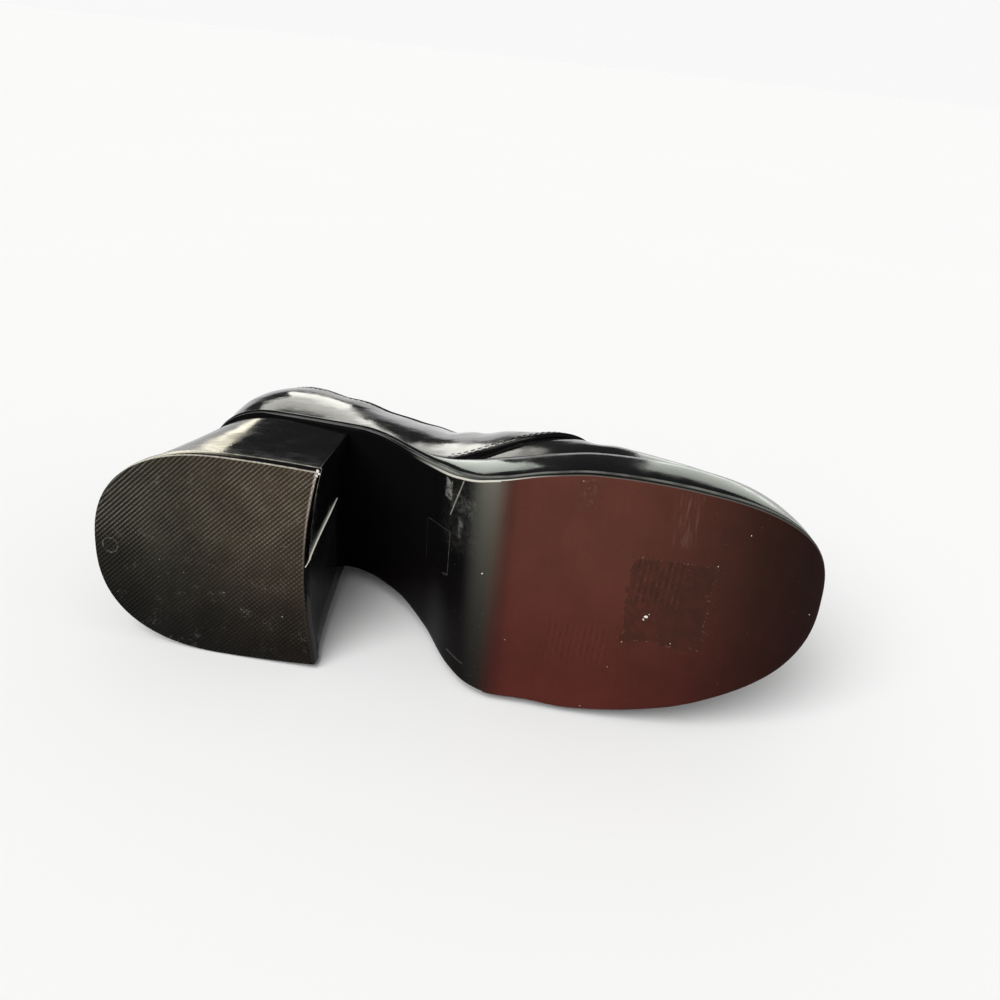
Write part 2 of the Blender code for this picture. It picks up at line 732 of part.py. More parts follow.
def main():
    for obj in list(bpy.data.objects):
        bpy.data.objects.remove(obj, do_unlink=True)

    rubber = material("ribbed_rubber", (0.035, 0.026, 0.024), 0.6)
    sole = material("oxblood_sole", (0.11, 0.03, 0.025), 0.45)
    gloss = material("black_gloss_leather", (0.008, 0.008, 0.009), 0.16)
    lining = material("lining_board", (0.09, 0.08, 0.07), 0.7)
    metal = material("blackened_metal", (0.05, 0.05, 0.055), 0.3, 1.0)
    cord = material("waxed_cord", (0.012, 0.012, 0.012), 0.5)

    places = eyelet_places()
    upper, quarters = make_upper(gloss), make_quarters(gloss)
    cutter = cut_eyelet_holes(places, (upper, quarters))
    lace, *crossings = make_lace(places, cord)
    pieces = [
        (make_heel_top_piece(rubber), DENSITY["rubber"]),
        (make_heel_block(gloss), DENSITY["heel"]),
        (make_outsole(sole), DENSITY["sole"]),
        (make_platform(gloss), DENSITY["platform"]),
        (make_insole(lining), DENSITY["board"]),
        (upper, DENSITY["leather"]),
        (quarters, DENSITY["leather"]),
        (make_tongue(gloss), DENSITY["leather"]),
        (lace, DENSITY["lace"]),
    ]
    pieces += [(make_eyelet(place, metal), DENSITY["metal"]) for place in places]

    laid = lay_on_side(pieces)
    shoe = bpy.data.objects.new("shoe", None)
    bpy.context.scene.collection.objects.link(shoe)
    for obj in [obj for obj, _density in pieces] + [cutter] + crossings:
        obj.parent = shoe
    shoe.matrix_world = laid
    bpy.context.view_layer.update()


main()
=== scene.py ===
"""Finished pieces of a platform derby shoe, lying on its lateral side.

Every piece is drawn standing, in the shoe's own millimetres: X runs from the back of the heel to the
toe, Y to the lateral (outer) side and Z up from the ground. SHOE then lays it where the solids lie.
"""
import json
import math
from functools import lru_cache

import bmesh
import bpy
from mathutils import Matrix, Vector

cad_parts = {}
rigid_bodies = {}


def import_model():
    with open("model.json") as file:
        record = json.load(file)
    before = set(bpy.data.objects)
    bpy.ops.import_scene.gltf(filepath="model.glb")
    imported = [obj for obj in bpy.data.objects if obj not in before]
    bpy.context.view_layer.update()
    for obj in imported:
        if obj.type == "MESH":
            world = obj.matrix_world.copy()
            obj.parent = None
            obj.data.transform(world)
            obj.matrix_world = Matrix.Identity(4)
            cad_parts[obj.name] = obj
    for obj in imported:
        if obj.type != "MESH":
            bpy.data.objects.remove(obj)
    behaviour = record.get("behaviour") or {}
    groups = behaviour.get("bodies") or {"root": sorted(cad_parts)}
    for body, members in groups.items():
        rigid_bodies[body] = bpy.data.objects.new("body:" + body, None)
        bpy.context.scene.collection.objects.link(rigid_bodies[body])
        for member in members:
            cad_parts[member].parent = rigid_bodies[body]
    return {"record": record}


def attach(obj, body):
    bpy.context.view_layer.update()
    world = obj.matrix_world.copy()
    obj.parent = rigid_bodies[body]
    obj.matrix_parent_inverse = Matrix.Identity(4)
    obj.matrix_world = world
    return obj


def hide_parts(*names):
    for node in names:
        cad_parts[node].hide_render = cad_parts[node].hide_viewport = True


bl_info = {
    "name": "Platform derby shoe",
    "version": (1, 0, 0),
    "blender": (4, 5, 0),
    "location": "View3D > Sidebar > Derby shoe",
    "description": "Builds the finished pieces of a platform derby shoe around its solids",
    "category": "Add Mesh",
}

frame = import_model()

MM = 0.001
LATERAL, MEDIAL = 1, -1
AT_CROWN = math.pi / 2
# The two treads named by the record, in the shoe's own place.
HEEL_TREAD, BALL_TREAD = Vector((45, 2.7, 0)), Vector((185, -2.6, 0))

# --- sizes of the shoe, in millimetres ---

GAP = 0.3
TOE_X, TOE_FROM, TOE_SETBACK, SPINE_TO_X = 263, 180, 5.5, 217
SEAT_BACK_X, SEAT_ROUND_TO, BREAST_X = 9, 44, 84
SEAT_UNDER_Z, SEAT_SLOPE, SEAT_THICK = 76.5, 0.197, 6.5
OUTSOLE_THICK, INSOLE_THICK, TOP_PIECE_THICK = 3.4, 2.2, 6
UPPER_INSET, WALL = 2.6, 2
QUARTER_GAP, QUARTER_THICK = 0.65, 1.3
TONGUE_THICK, TONGUE_TOP_X, TONGUE_REACH, TONGUE_ROUND = 2.4, 101, 15, 9
# The second value is the strength of the painted sheen where the sole bends.
TREAD_FROM_X, PAINTED_SHEEN = 150, 0.088
COLLAR_END_X, THROAT_X, THROAT_ROUND = 119, 173, 10
FACING_GAP, FACING_SPREAD = 5, 4
QUARTER_FOOT_X, QUARTER_TIP_X = 120, 184
TOE_BOX_ROUND, TOE_BOX_FROM, TOE_BOX_TO = 13, 200, 258
BACK_CURVE, BACK_LEAN, BACK_TO_X = -2.6, 5, 60
EYELET_ROWS, EYELET_FIRST_X, EYELET_LAST_X, EYELET_SET_IN = 5, 172, 124, 7.5
EYELET_RADIUS, EYELET_HOLE, EYELET_HEIGHT, EYELET_GAP = 3.4, 1.9, 0.8, 0.5
HEEL_ROUND_TO, HEEL_NARROWING = 52, 1
SWELL_RISE, SWELL_HALF, BACK_CURVE_RISE, BACK_LEAN_RISE = 60, 20, 48, (30, 62)
# Rounds: how flat they start and how full they end.
TOE_ROUND, SEAT_ROUND, HEEL_ROUND, QUARTER_ROUND = (1.8, 2.74), (2.4, 2.4), (2.4, 2.4), (1.7, 1.9)
HEEL_GROUND = {"back": 1, "half": 39.2, "centre": 2.7, "corner": 85.5, "breast": 81}
HEEL_SEAT = {"back": 9.8, "half": 31.2, "centre": -0.9, "corner": 78, "breast": 76.5}

# Footprint of the sole: centre line and half width. The end rounds are worked out from these.
CENTRE, HALF = 1, 2
FOOTPRINT = (
    # x, centre, half
    (9, 0.5, 31.5), (45, -0.5, 31.8), (90, -1.8, 31.2), (105, -0.9, 31.2), (120, 0.4, 33.4),
    (135, 0.8, 38.1), (150, 0.1, 41.7), (165, -1.7, 43.5), (180, -2.4, 45), (200, -3.6, 45),
    (220, -5.3, 45), (240, -6.9, 45), (263, -8.2, 45),
)

# Side view of the sole in front of the seat: its underside and the feather line on top of it.
UNDER, FEATHER = 1, 2
PROFILE = (
    # x, under, feather
    (84, 61.7, 68.2), (92, 57, 63.5), (105, 46.5, 54), (120, 29.5, 41.8),
    (133, 11, 34), (143, 2.4, 30.6), (152, 0, 28.9), (165, 0, 28),
    (215, 0, 28), (235, 2.5, 30), (250, 6, 33), (263, 11.5, 37.5),
)

# The last above the feather line.
CROWN, SWELL, LEAN, FULLNESS = 1, 2, 3, 4
LAST = (
    # x, crown, swell, lean, fullness
    (9, 200, 2.6, 0, 2.4), (45, 188, 2.4, 0, 2.2), (65, 176, 1.8, 0, 1.85),
    (85, 163, 1, 0, 1.5), (95, 157, 0.8, 0, 1.5), (106, 149, 0.8, -0.5, 1.65),
    (118, 138, 1, -1, 1.9), (130, 124, 1.2, -1.5, 2.1), (145, 106.5, 1.2, -2.5, 2.25),
    (160, 91.5, 1, -3.5, 2.3), (175, 79.5, 0.8, -4, 2.25), (190, 71, 0.8, -3.5, 2.15),
    (210, 64, 0.6, -2, 2.1), (235, 58, 0.4, -1, 2.1), (260, 51.5, 0.4, 0, 2.1),
)

# Height of the collar's edge, from the back to the top of the facings.
COLLAR = (
    # x, height
    (9, 139), (25, 134), (45, 125.5), (62, 120.5), (80, 118),
    (92, 120), (103, 126.5), (112, 133.5), (122, 140),
)

# Rows of the outsole and of the platform, from the middle of the underside over the edge to the
# middle of the top: share of the way in to the middle, stand-out of the edge, part of the thickness.
OUTSOLE_ROWS = (
    # inward, out, up
    (1, 0, 0), (0.8, 0, 0), (0.6, 0, 0), (0.4, 0, 0),
    (0.2, 0, 0), (0.06, 0, 0), (0, -0.7, 0), (0, -0.3, 0.04),
    (0, -0.05, 0.16), (0, 0.05, 0.35), (0, 0.05, 0.65), (0, -0.05, 0.84),
    (0, -0.3, 0.96), (0, -0.8, 1), (0.2, 0, 1), (1, 0, 1),
)
PLATFORM_ROWS = (
    # inward, out, up
    (1, 0, 0), (0.2, 0, 0), (0, -1.5, 0), (0, -0.7, 0.008), (0, -0.2, 0.04),
    (0, 0.15, 0.1), (0, 0.4, 0.2), (0, 0.6, 0.35), (0, 0.55, 0.55), (0, 0.4, 0.7),
    (0, 0.1, 0.84), (0, -0.3, 0.93), (0, -0.7, 0.975), (0, -1.3, 1), (0, -2.4, 1),
    (0.2, 0, 1), (1, 0, 1),
)

# Creases: soft troughs across the vamp and the ankle, each with a ridge in front of it. Near the
# crown, from CREASE_OVER of the way up, they run over to the other side.
CREASE_RIDGE, CREASE_FADE_IN, CREASE_FADE_OUT, CREASE_OVER = 0.45, 0.25, 0.2, 0.7
CREASES = (
    # x at the feather line, x at the crown, lowest part, highest part, half width, depth, side
    (176, 190, 0.10, 1.00, 4.5, 1.1, MEDIAL), (188, 196, 0.18, 1.00, 4, 0.8, MEDIAL),
    (180, 189, 0.12, 1.00, 4.2, 1, LATERAL), (192, 197, 0.20, 1.00, 4, 0.6, LATERAL),
    (122, 104, 0.15, 0.75, 6, 1.3, MEDIAL), (136, 120, 0.10, 0.60, 5, 0.9, MEDIAL),
    (120, 102, 0.15, 0.75, 6, 1.2, LATERAL), (134, 118, 0.10, 0.60, 5, 0.8, LATERAL),
    (60, 52, 0.15, 0.60, 7, 0.9, MEDIAL), (58, 50, 0.15, 0.60, 7, 0.8, LATERAL),
)

# Crumbs and dust stuck to the tread, on the waist and on the heel: x, y and size of each.
CRUMBS = (
    (203.7, 1.3, 1.4), (202.9, 2.4, 0.8), (204.6, 0.2, 0.45), (176.7, -45, 0.4), (233.7, -32.7, 0.45),
    (224.7, -20.7, 0.4), (213.3, 10.2, 0.4), (196.7, 12.3, 0.4), (259.5, -3.5, 0.4), (185.3, 40.7, 0.4),
    (155.8, 18.2, 0.3), (193, 23, 0.3), (145.5, -5.7, 0.8), (26, 6.2, 0.3), (50.7, 16, 0.35),
    (73, 22.5, 0.4), (66.5, 12, 0.25), (35.3, 10.2, 0.3), (85.7, -36.2, 1.5), (86.3, -35.2, 1.1),
    (85.3, -34.4, 1.1), (84.9, -33, 0.5), (84.3, -30.4, 0.55), (83.6, -27.6, 0.3),
)

# The camera, in the shoe's own place.
CAMERA_AT = Vector((182.3, -144.9, -287))
CAMERA_AHEAD = Vector((-0.106, 0.357, 0.928))
CAMERA_UP = Vector((-0.13, -0.93, 0.343))
CAMERA_LENS = 33


def shoe_matrix():
    """From the standing shoe's millimetres to the frame, found from the record's two treads."""
    mounts = {mount["name"]: mount for mount in frame["record"]["mounts"]}
    heel, ball = (Vector(mounts[name]["pos_m"]) for name in ("heel_tread", "forefoot_tread"))
    up = -Vector(mounts["heel_tread"]["axis"]).normalized()
    run = ball - heel
    run = (run - up * run.dot(up)).normalized()
    drawn = (BALL_TREAD - HEEL_TREAD).normalized()
    side = up.cross(run)
    along = run * drawn.x - side * drawn.y
    turn = Matrix((along, up.cross(along), up)).transposed().to_4x4()
    return Matrix.Translation(heel) @ turn @ Matrix.Scale(MM, 4) @ Matrix.Translation(-HEEL_TREAD)


SHOE = shoe_matrix()


# --- curves of the shoe ---

@lru_cache(maxsize=None)
def smooth(table, column, x):
    """Monotone cubic through one column of a table, level past its ends."""
    if x <= table[0][0]:
        return table[0][column]
    if x >= table[-1][0]:
        return table[-1][column]
    xs = [row[0] for row in table]
    ys = [row[column] for row in table]
    k = max(i for i, start in enumerate(xs) if start <= x)

    def rise(i):
        i = min(max(i, 0), len(xs) - 2)
        return (ys[i + 1] - ys[i]) / (xs[i + 1] - xs[i])

    def slope(i):
        before, after = rise(i - 1), rise(i)
        return 0 if before * after <= 0 else 2 * before * after / (before + after)

    width = xs[k + 1] - xs[k]
    u = (x - xs[k]) / width
    return ((2 * u**3 - 3 * u**2 + 1) * ys[k] + (u**3 - 2 * u**2 + u) * width * slope(k)
            + (3 * u**2 - 2 * u**3) * ys[k + 1] + (u**3 - u**2) * width * slope(k + 1))


def clamp(u):
    return min(1, max(0, u))


def ease(low, high, x):
    """0 up to low, 1 from high, smooth between."""
    u = clamp((x - low) / (high - low))
    return u * u * (3 - 2 * u)


def round_end(u, flat, full):
    """Part of the full width left at u, where the round starts at 0 and closes at 1."""
    return (1 - clamp(u) ** flat) ** (1 / full)


def slope_of(curve, x, step):
    return (curve(x + step) - curve(x - step)) / (2 * step)


def centre_y(x):
    return smooth(FOOTPRINT, CENTRE, x)


def under_z(x):
    if x <= BREAST_X:
        return SEAT_UNDER_Z - SEAT_SLOPE * (x - SEAT_BACK_X)
    return smooth(PROFILE, UNDER, x)


def feather_z(x):
    if x <= BREAST_X:
        return under_z(x) + SEAT_THICK
    return smooth(PROFILE, FEATHER, x)


def outsole_top_z(x):
    return under_z(x) + OUTSOLE_THICK * math.hypot(1, slope_of(under_z, x, 0.5))


def half_width(x, inset=0, toe_x=TOE_X):
    """Half of the footprint at x, drawn in by inset all round."""
    half = smooth(FOOTPRINT, HALF, x) - inset
    if x > TOE_FROM:
        return half * round_end((x - TOE_FROM) / (toe_x - inset - TOE_FROM), *TOE_ROUND)
    if x < SEAT_ROUND_TO:
        return half * round_end((SEAT_ROUND_TO - x) / (SEAT_ROUND_TO - SEAT_BACK_X - inset), *SEAT_ROUND)
    return half


UPPER_TOE_X = TOE_X - TOE_SETBACK
LAST_BACK_X = SEAT_BACK_X + UPPER_INSET
LAST_TOE_X = UPPER_TOE_X - UPPER_INSET


def upper_half(x, inset=UPPER_INSET):
    return half_width(x, inset, UPPER_TOE_X)


@lru_cache(maxsize=None)
def last_size(x, inset=0):
    """Half width and height of the last's section at x."""
    slope = slope_of(lambda at: smooth(LAST, CROWN, at), x, 2)
    height = smooth(LAST, CROWN, x) - feather_z(x) - inset * math.hypot(1, slope)
    return upper_half(x, UPPER_INSET + inset), height


def last_point(x, turn, side, inset=0):
    """Point of the last: turn is 0 at the feather line and 90 degrees at the crown."""
    x += inset * (1 - 2 * (x - LAST_BACK_X) / (LAST_TOE_X - LAST_BACK_X))
    half, height = last_size(x, inset)
    power = 2 / smooth(LAST, FULLNESS, x)
    up = math.sin(turn) ** power if turn > 0 else 0
    across = math.cos(turn) ** power if turn < AT_CROWN else 0
    rise = height * up
    swell = (smooth(LAST, SWELL, x) * math.sin(math.pi * min(1, rise / SWELL_RISE))
             * min(1, half / SWELL_HALF))
    y = centre_y(x) + side * (half * across + swell * across) + smooth(LAST, LEAN, x) * up
    back = (BACK_CURVE * math.sin(math.pi * min(1, rise / BACK_CURVE_RISE))
            + BACK_LEAN * ease(*BACK_LEAN_RISE, rise))
    toe = TOE_BOX_ROUND * (1 - math.sqrt(max(0, 1 - up * up)))
    along = back * (1 - ease(SEAT_BACK_X, BACK_TO_X, x)) - toe * ease(TOE_BOX_FROM, TOE_BOX_TO, x)
    return Vector((x + along, y, feather_z(x) + GAP + rise))


def turn_at_rise(x, rise):
    return math.asin(clamp(rise / last_size(x)[1]) ** (smooth(LAST, FULLNESS, x) / 2))


def turn_at_reach(x, reach):
    return math.acos(clamp(reach / max(last_size(x)[0], 0.001)) ** (smooth(LAST, FULLNESS, x) / 2))


def facing_gap(x):
    """Half of the opening between the facings."""
    return FACING_GAP + FACING_SPREAD * (THROAT_X - x) / (THROAT_X - COLLAR_END_X)


def top_turn(x):
    """Edge of the collar and of the throat, or the crown where the upper is closed."""
    if x >= THROAT_X:
        return AT_CROWN
    collar_turn = turn_at_rise(x, smooth(COLLAR, 1, x) - feather_z(x))
    if x < BREAST_X:
        return collar_turn
    from_round = max(0, (x - THROAT_X + THROAT_ROUND) / THROAT_ROUND)
    gap_turn = turn_at_reach(x, facing_gap(x) * math.sqrt(max(0, 1 - from_round ** 2)))
    return gap_turn if x >= COLLAR[-1][0] else min(gap_turn, collar_turn)


def quarter_top_turn(x):
    return turn_at_reach(x, max(3, facing_gap(x))) if x >= COLLAR_END_X else top_turn(x)


def quarter_low_turn(x):
    """Front curve of the quarter, from the feather line up to the tip of the facing."""
    u = (x - QUARTER_FOOT_X) / (QUARTER_TIP_X - QUARTER_FOOT_X)
    return max(0, quarter_top_turn(x) * (1 - round_end(u, *QUARTER_ROUND)))


def crease_depth(x, part, side):
    """How far the leather sinks at x, part of the way from the feather line to the crown."""
    depth = 0
    carried_over = 0.5 * ease(CREASE_OVER, 1, part)
    for foot_x, crown_x, low, high, half, deep, on_side in CREASES:
        share = 1 - carried_over if on_side == side else carried_over
        off = (x - (foot_x + (crown_x - foot_x) * part)) / half
        if share and abs(off) <= 4:
            fade = ease(low, low + CREASE_FADE_IN, part)
            if high < 1:
                fade *= 1 - ease(high - CREASE_FADE_OUT, high, part)
            trough, ridge = math.exp(-off * off), math.exp(-(off - 2) ** 2)
            depth += share * deep * fade * (trough - CREASE_RIDGE * ridge)
    return depth


def skin_point(x, turn, side, lift):
    """Point of the upper's outside, lift above the last, with its creases."""
    point = last_point(x, turn, side, -lift)
    depth = crease_depth(x, turn / AT_CROWN, side)
    if depth:
        point += (last_point(x, turn, side, 1 - lift) - point) * depth
    return point


def skin_normal(x, turn, side):
    """Outward normal of the last, from its neighbours along and round."""
    along = last_point(x + 1, turn, side) - last_point(x - 1, turn, side)
    round_it = last_point(x, turn + 0.02, side) - last_point(x, turn - 0.02, side)
    return (along.cross(round_it) * -side).normalized()


def places_between(start, end, steps, shape=lambda part: part):
    return [start + (end - start) * shape(k / steps) for k in range(steps + 1)]


def slow_end(part):
    return math.sin(0.5 * math.pi * part)


def slow_start(part):
    return 1 - math.cos(0.5 * math.pi * part)


def share_out(lengths, wanted):
    """For each wanted part of a chain of lengths: the link it falls in, and the part of that link."""
    run = [0]
    for length in lengths:
        run.append(run[-1] + length)
    k = 0
    for part in wanted:
        place = run[-1] * part
        while run[k + 1] < place:
            k += 1
        yield k, (place - run[k]) / max(run[k + 1] - run[k], 1e-6)


def even_stations(count, width, low, high):
    """Places along X, evenly spaced along an outline of that half width."""
    xs = places_between(low, high, 1500, lambda part: (1 - math.cos(math.pi * part)) / 2)
    lengths = [math.hypot(b - a, width(b) - width(a)) for a, b in zip(xs, xs[1:])]
    inner = share_out(lengths, [i / count for i in range(1, count)])
    return [low] + [xs[k] + (xs[k + 1] - xs[k]) * part for k, part in inner] + [high]


def even_path(path, spacing):
    """Points evenly spaced along a path, each with the direction it runs in and its normal."""
    lengths = [(b[0] - a[0]).length for a, b in zip(path, path[1:])]
    count = max(1, round(sum(lengths) / spacing))
    for k, part in share_out(lengths, [(i + 0.5) / count for i in range(count)]):
        (a, normal_a), (b, normal_b) = path[k], path[k + 1]
        yield a.lerp(b, part), (b - a).normalized(), normal_a.lerp(normal_b, part).normalized()


# --- mesh helpers ---

def with_settings(thing, **settings):
    """Sets these attributes of a thing and returns it."""
    for name, value in settings.items():
        setattr(thing, name, value)
    return thing


def shaped_grid(columns, rows, place, bm=None):
    """Sheet of quads whose points go where place puts them, by column and row."""
    bm = bm or bmesh.new()
    made = bmesh.ops.create_grid(bm, x_segments=columns, y_segments=rows, size=0.5)
    for vert in made["verts"]:
        vert.co = place(round((vert.co.x + 0.5) * columns), round((vert.co.y + 0.5) * rows))
    return bm


def put_in_scene(name, data):
    thing = bpy.data.objects.new(name, data)
    bpy.context.scene.collection.objects.link(thing)
    return thing


def keep_shape(name, shape, replaced, materials):
    """Object of a mesh or curve: it stands for its solids, fills its slot and rides with the shoe."""
    for material in materials:
        shape.materials.append(material)
    piece = put_in_scene(name, shape)
    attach(piece, "root")
    if replaced:
        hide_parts(*replaced)
    return piece


def keep_piece(name, bm, replaced, materials, smooth_angle=40, closed=True):
    """Piece of a mesh drawn in the shoe's millimetres."""
    bmesh.ops.remove_doubles(bm, verts=bm.verts, dist=0.01)
    bmesh.ops.dissolve_degenerate(bm, dist=0.001, edges=bm.edges)
    bmesh.ops.transform(bm, matrix=SHOE, verts=bm.verts)
    if closed:
        bmesh.ops.recalc_face_normals(bm, faces=bm.faces)
    mesh = bpy.data.meshes.new(name)
    bm.to_mesh(mesh)
    bm.free()
    mesh.shade_smooth()
    mesh.set_sharp_from_angle(angle=math.radians(smooth_angle))
    return keep_shape(name, mesh, replaced, materials)


def keep_cord(name, radius, detail, paths, replaced, material):
    """Piece of round cord, or of a rolled edge, along paths in the shoe's millimetres."""
    curve = with_settings(bpy.data.curves.new(name, "CURVE"), dimensions="3D", bevel_depth=radius,
                          bevel_resolution=3, use_fill_caps=True, resolution_u=detail)
    for path in paths:
        spline = curve.splines.new("BEZIER")
        spline.bezier_points.add(len(path) - 1)
        for knot, point in zip(spline.bezier_points, path):
            knot.co = SHOE @ point
            knot.handle_left_type = knot.handle_right_type = "AUTO"
    return keep_shape(name, curve, replaced, [material])


def add_wall(piece, thickness, inner_material=0, edge=0.35):
    """Gives a sheet its thickness, inwards, and takes the sharpness off its edges."""
    with_settings(piece.modifiers.new("wall", "SOLIDIFY"), thickness=thickness * MM, offset=-1,
                  material_offset=inner_material)
    if edge:
        with_settings(piece.modifiers.new("edges", "BEVEL"), width=edge * MM, segments=2,
                      limit_method="ANGLE", angle_limit=math.radians(60))
    return piece


def sole_body(rows, count, height, setback=0):
    """Closed body round the footprint, whose points carry their part of the thickness for the finishes."""
    stations = even_stations(count, half_width, SEAT_BACK_X, TOE_X)

    def edge_point(i, side, out):
        x = stations[i]
        before, after = stations[max(i - 1, 0)], stations[min(i + 1, count)]
        if i in (0, count):
            normal = Vector((-1 if i == 0 else 1, 0))
        else:
            run = Vector((after - before, side * (half_width(after) - half_width(before))))
            run.y += centre_y(after) - centre_y(before)
            normal = Vector((-run.y, run.x)).normalized() * side
        return x + normal.x * out, centre_y(x) + side * half_width(x) + normal.y * out

    def place(column, row):
        side, i = (LATERAL, column) if column <= count else (MEDIAL, 2 * count - column)
        inward, out, up = rows[row]
        x, y = edge_point(i, side, out)
        spine_x = min(max(x, SEAT_ROUND_TO), SPINE_TO_X)
        x += (spine_x - x) * inward
        y += (centre_y(spine_x) - y) * inward
        x -= setback * up * ease(TOE_FROM + 20, TOE_X, x)
        return Vector((x, y, height(x, up)))

    bm = shaped_grid(2 * count, len(rows) - 1, place)
    layer = bm.verts.layers.float.new("up")
    for k, vert in enumerate(bm.verts):
        vert[layer] = rows[k // (2 * count + 1)][2]
    return bm


def heel_outline(size, inset, count, breast_count):
    """D-shaped outline of the heel, from the lateral corner of the breast round the back."""
    centre, half = size["centre"], size["half"] - inset
    corner, breast, back = size["corner"] - inset, size["breast"] - inset, size["back"] + inset

    def width(x):
        if x > HEEL_ROUND_TO:
            return half - HEEL_NARROWING * ((x - HEEL_ROUND_TO) / (corner - HEEL_ROUND_TO)) ** 2
        return half * round_end((HEEL_ROUND_TO - x) / (HEEL_ROUND_TO - back), *HEEL_ROUND)

    xs = even_stations(count, width, back, corner)
    points = [(x, centre + width(x)) for x in reversed(xs)] + [(x, centre - width(x)) for x in xs[1:]]
    for v in places_between(-1, 1, breast_count)[1:-1]:
        points.append((breast + (corner - breast) * v * v, centre + width(corner) * v))
    return points


# --- finishes ---

def feed(socket, value):
    """Links a socket or field to an input, or sets the input's own value or colour."""
    value = getattr(value, "socket", value)
    if isinstance(value, bpy.types.NodeSocket):
        socket.id_data.links.new(value, socket)
    elif value is not None:
        socket.default_value = (*value, 1) if socket.type == "RGBA" else value


def new_node(tree, kind, inputs, output=0, **settings):
    """Output of a new shader node with these settings and inputs."""
    node = with_settings(tree.nodes.new("ShaderNode" + kind), **settings)
    for name, value in inputs.items():
        feed(node.inputs[name], value)
    return node.outputs[output]


class Field:
    """A value that varies over a surface; sums, products and powers of fields make their nodes."""

    def __init__(self, tree, kind, inputs, output=0, **settings):
        self.tree = tree
        self.socket = new_node(tree, kind, inputs, output, **settings)

    def work_out(self, operation, a, b=0):
        return Field(self.tree, "Math", {0: a, 1: b}, operation=operation)

    def __rsub__(self, other):
        return self.work_out("SUBTRACT", other, self)

    def __abs__(self):
        return self.work_out("ABSOLUTE", self)

    def ramp(self, low, high, start=0, end=1):
        """start up to low, end from high, smooth between; low may be above high."""
        return Field(self.tree, "MapRange", {"Value": self, "From Min": low, "From Max": high,
                                             "To Min": start, "To Max": end},
                     interpolation_type="SMOOTHSTEP")

    def band(self, *places):
        """Rises from 0 to 1 between the first two places and falls back between the last two."""
        return self.ramp(*places[:2]) * self.ramp(places[3], places[2])


for sign, operation in (("add", "ADD"), ("sub", "SUBTRACT"), ("mul", "MULTIPLY"), ("pow", "POWER"),
                        ("or", "MAXIMUM")):
    setattr(Field, f"__{sign}__", lambda a, b, operation=operation: a.work_out(operation, a, b))


class Finish:
    """A material made of nodes, whose patterns are placed in the shoe's own millimetres.

    Colours are laid over the first one, and each relief is raised on the one before.
    """

    def __init__(self, name, colour=None):
        self.material = bpy.data.materials.new(name)
        self.material.use_nodes = True
        self.tree = self.material.node_tree
        self.colour = colour
        self.normal = None
        place, turn, scale = SHOE.inverted().decompose()
        self.place = new_node(self.tree, "Mapping", {
            "Vector": new_node(self.tree, "TexCoord", {}, "Object"), "Location": place,
            "Rotation": turn.to_euler("XYZ"), "Scale": scale})
        self.x, self.y, self.z = (Field(self.tree, "SeparateXYZ", {"Vector": self.place}, axis)
                                  for axis in "XYZ")

    def noise(self, size, detail=2, roughness=0.5, stretch=None, turn=0):
        """Noise whose grains are about size millimetres across, stretched and turned about Z."""
        vector = self.place
        if stretch:
            vector = new_node(self.tree, "Mapping", {"Vector": vector, "Rotation": (0, 0, turn),
                                                     "Scale": [1 / part for part in stretch]})
        return Field(self.tree, "TexNoise", {"Vector": vector, "Scale": 1 / size, "Detail": detail,
                                             "Roughness": roughness}, "Fac")

    def grain(self, size):
        return Field(self.tree, "TexVoronoi", {"Vector": self.place, "Scale": 1 / size}, "Distance")

    def height_share(self):
        """The part of the sole's thickness that its points carry."""
        return Field(self.tree, "Attribute", {}, "Fac", attribute_name="up")

    def ribs(self, pitch, turn, wobble=0):
        """Ribs across X after a turn about Z, from -1 to 1, pitch millimetres apart."""
        run = self.x * math.cos(turn) + self.y * math.sin(turn)
        if wobble:
            run += self.noise(9) * wobble
        return run.work_out("SINE", run * (math.tau / pitch))

    def box(self, x_range, y_range, soft, wobble=0):
        """1 inside a box of the shoe's X and Y, with soft sides."""
        x, y = self.x, self.y
        if wobble:
            x += (self.noise(6, 4) - 0.5) * wobble
            y += (self.noise(5, 4) - 0.5) * wobble
        along, across = (axis.band(low - soft, low + soft, high - soft, high + soft)
                         for axis, (low, high) in ((x, x_range), (y, y_range)))
        return along * across

    def line(self, start, end, half):
        """1 along a straight line between two places of the shoe's X and Y, half its width to each side."""
        run = Vector(end) - Vector(start)
        ahead = run.normalized()
        x, y = self.x - start[0], self.y - start[1]
        along = x * ahead.x + y * ahead.y
        across = y * ahead.x - x * ahead.y
        return (along.band(-half, half, run.length - half, run.length + half)
                * abs(across).ramp(half * 1.3, half * 0.3))

    def lay(self, colour, share, blend="MIX"):
        """Lays a colour over the share of the surface that a field gives."""
        self.colour = new_node(self.tree, "Mix", {"Factor": share, "A": self.colour, "B": colour}, "Result",
                               data_type="RGBA", blend_type=blend)

    def lay_stops(self, value, low, high, stops):
        """Colours along a field; each stop is a place between low and high, and its colour."""
        self.colour = new_node(self.tree, "ValToRGB", {"Fac": (value - low) * (1 / (high - low))})
        elements = self.colour.node.color_ramp.elements
        while len(elements) < len(stops):
            elements.new(0.5)
        for element, (at, colour) in zip(elements, stops):
            element.position = (at - low) / (high - low)
            element.color = (*colour, 1)

    def emboss(self, height, depth, strength=1):
        """Relief of depth millimetres for heights from 0 to 1."""
        self.normal = new_node(self.tree, "Bump", {"Strength": strength, "Distance": depth * MM,
                                                   "Height": height, "Normal": self.normal})

    def finish(self, roughness, **constants):
        constants.update(Base_Color=self.colour, Roughness=roughness, Normal=self.normal)
        for name, value in constants.items():
            feed(self.tree.nodes["Principled BSDF"].inputs[name.replace("_", " ")], value)
        return self.material


def colours():
    return bpy.context.scene.derby_colours


def sizes():
    return bpy.context.scene.derby_sizes


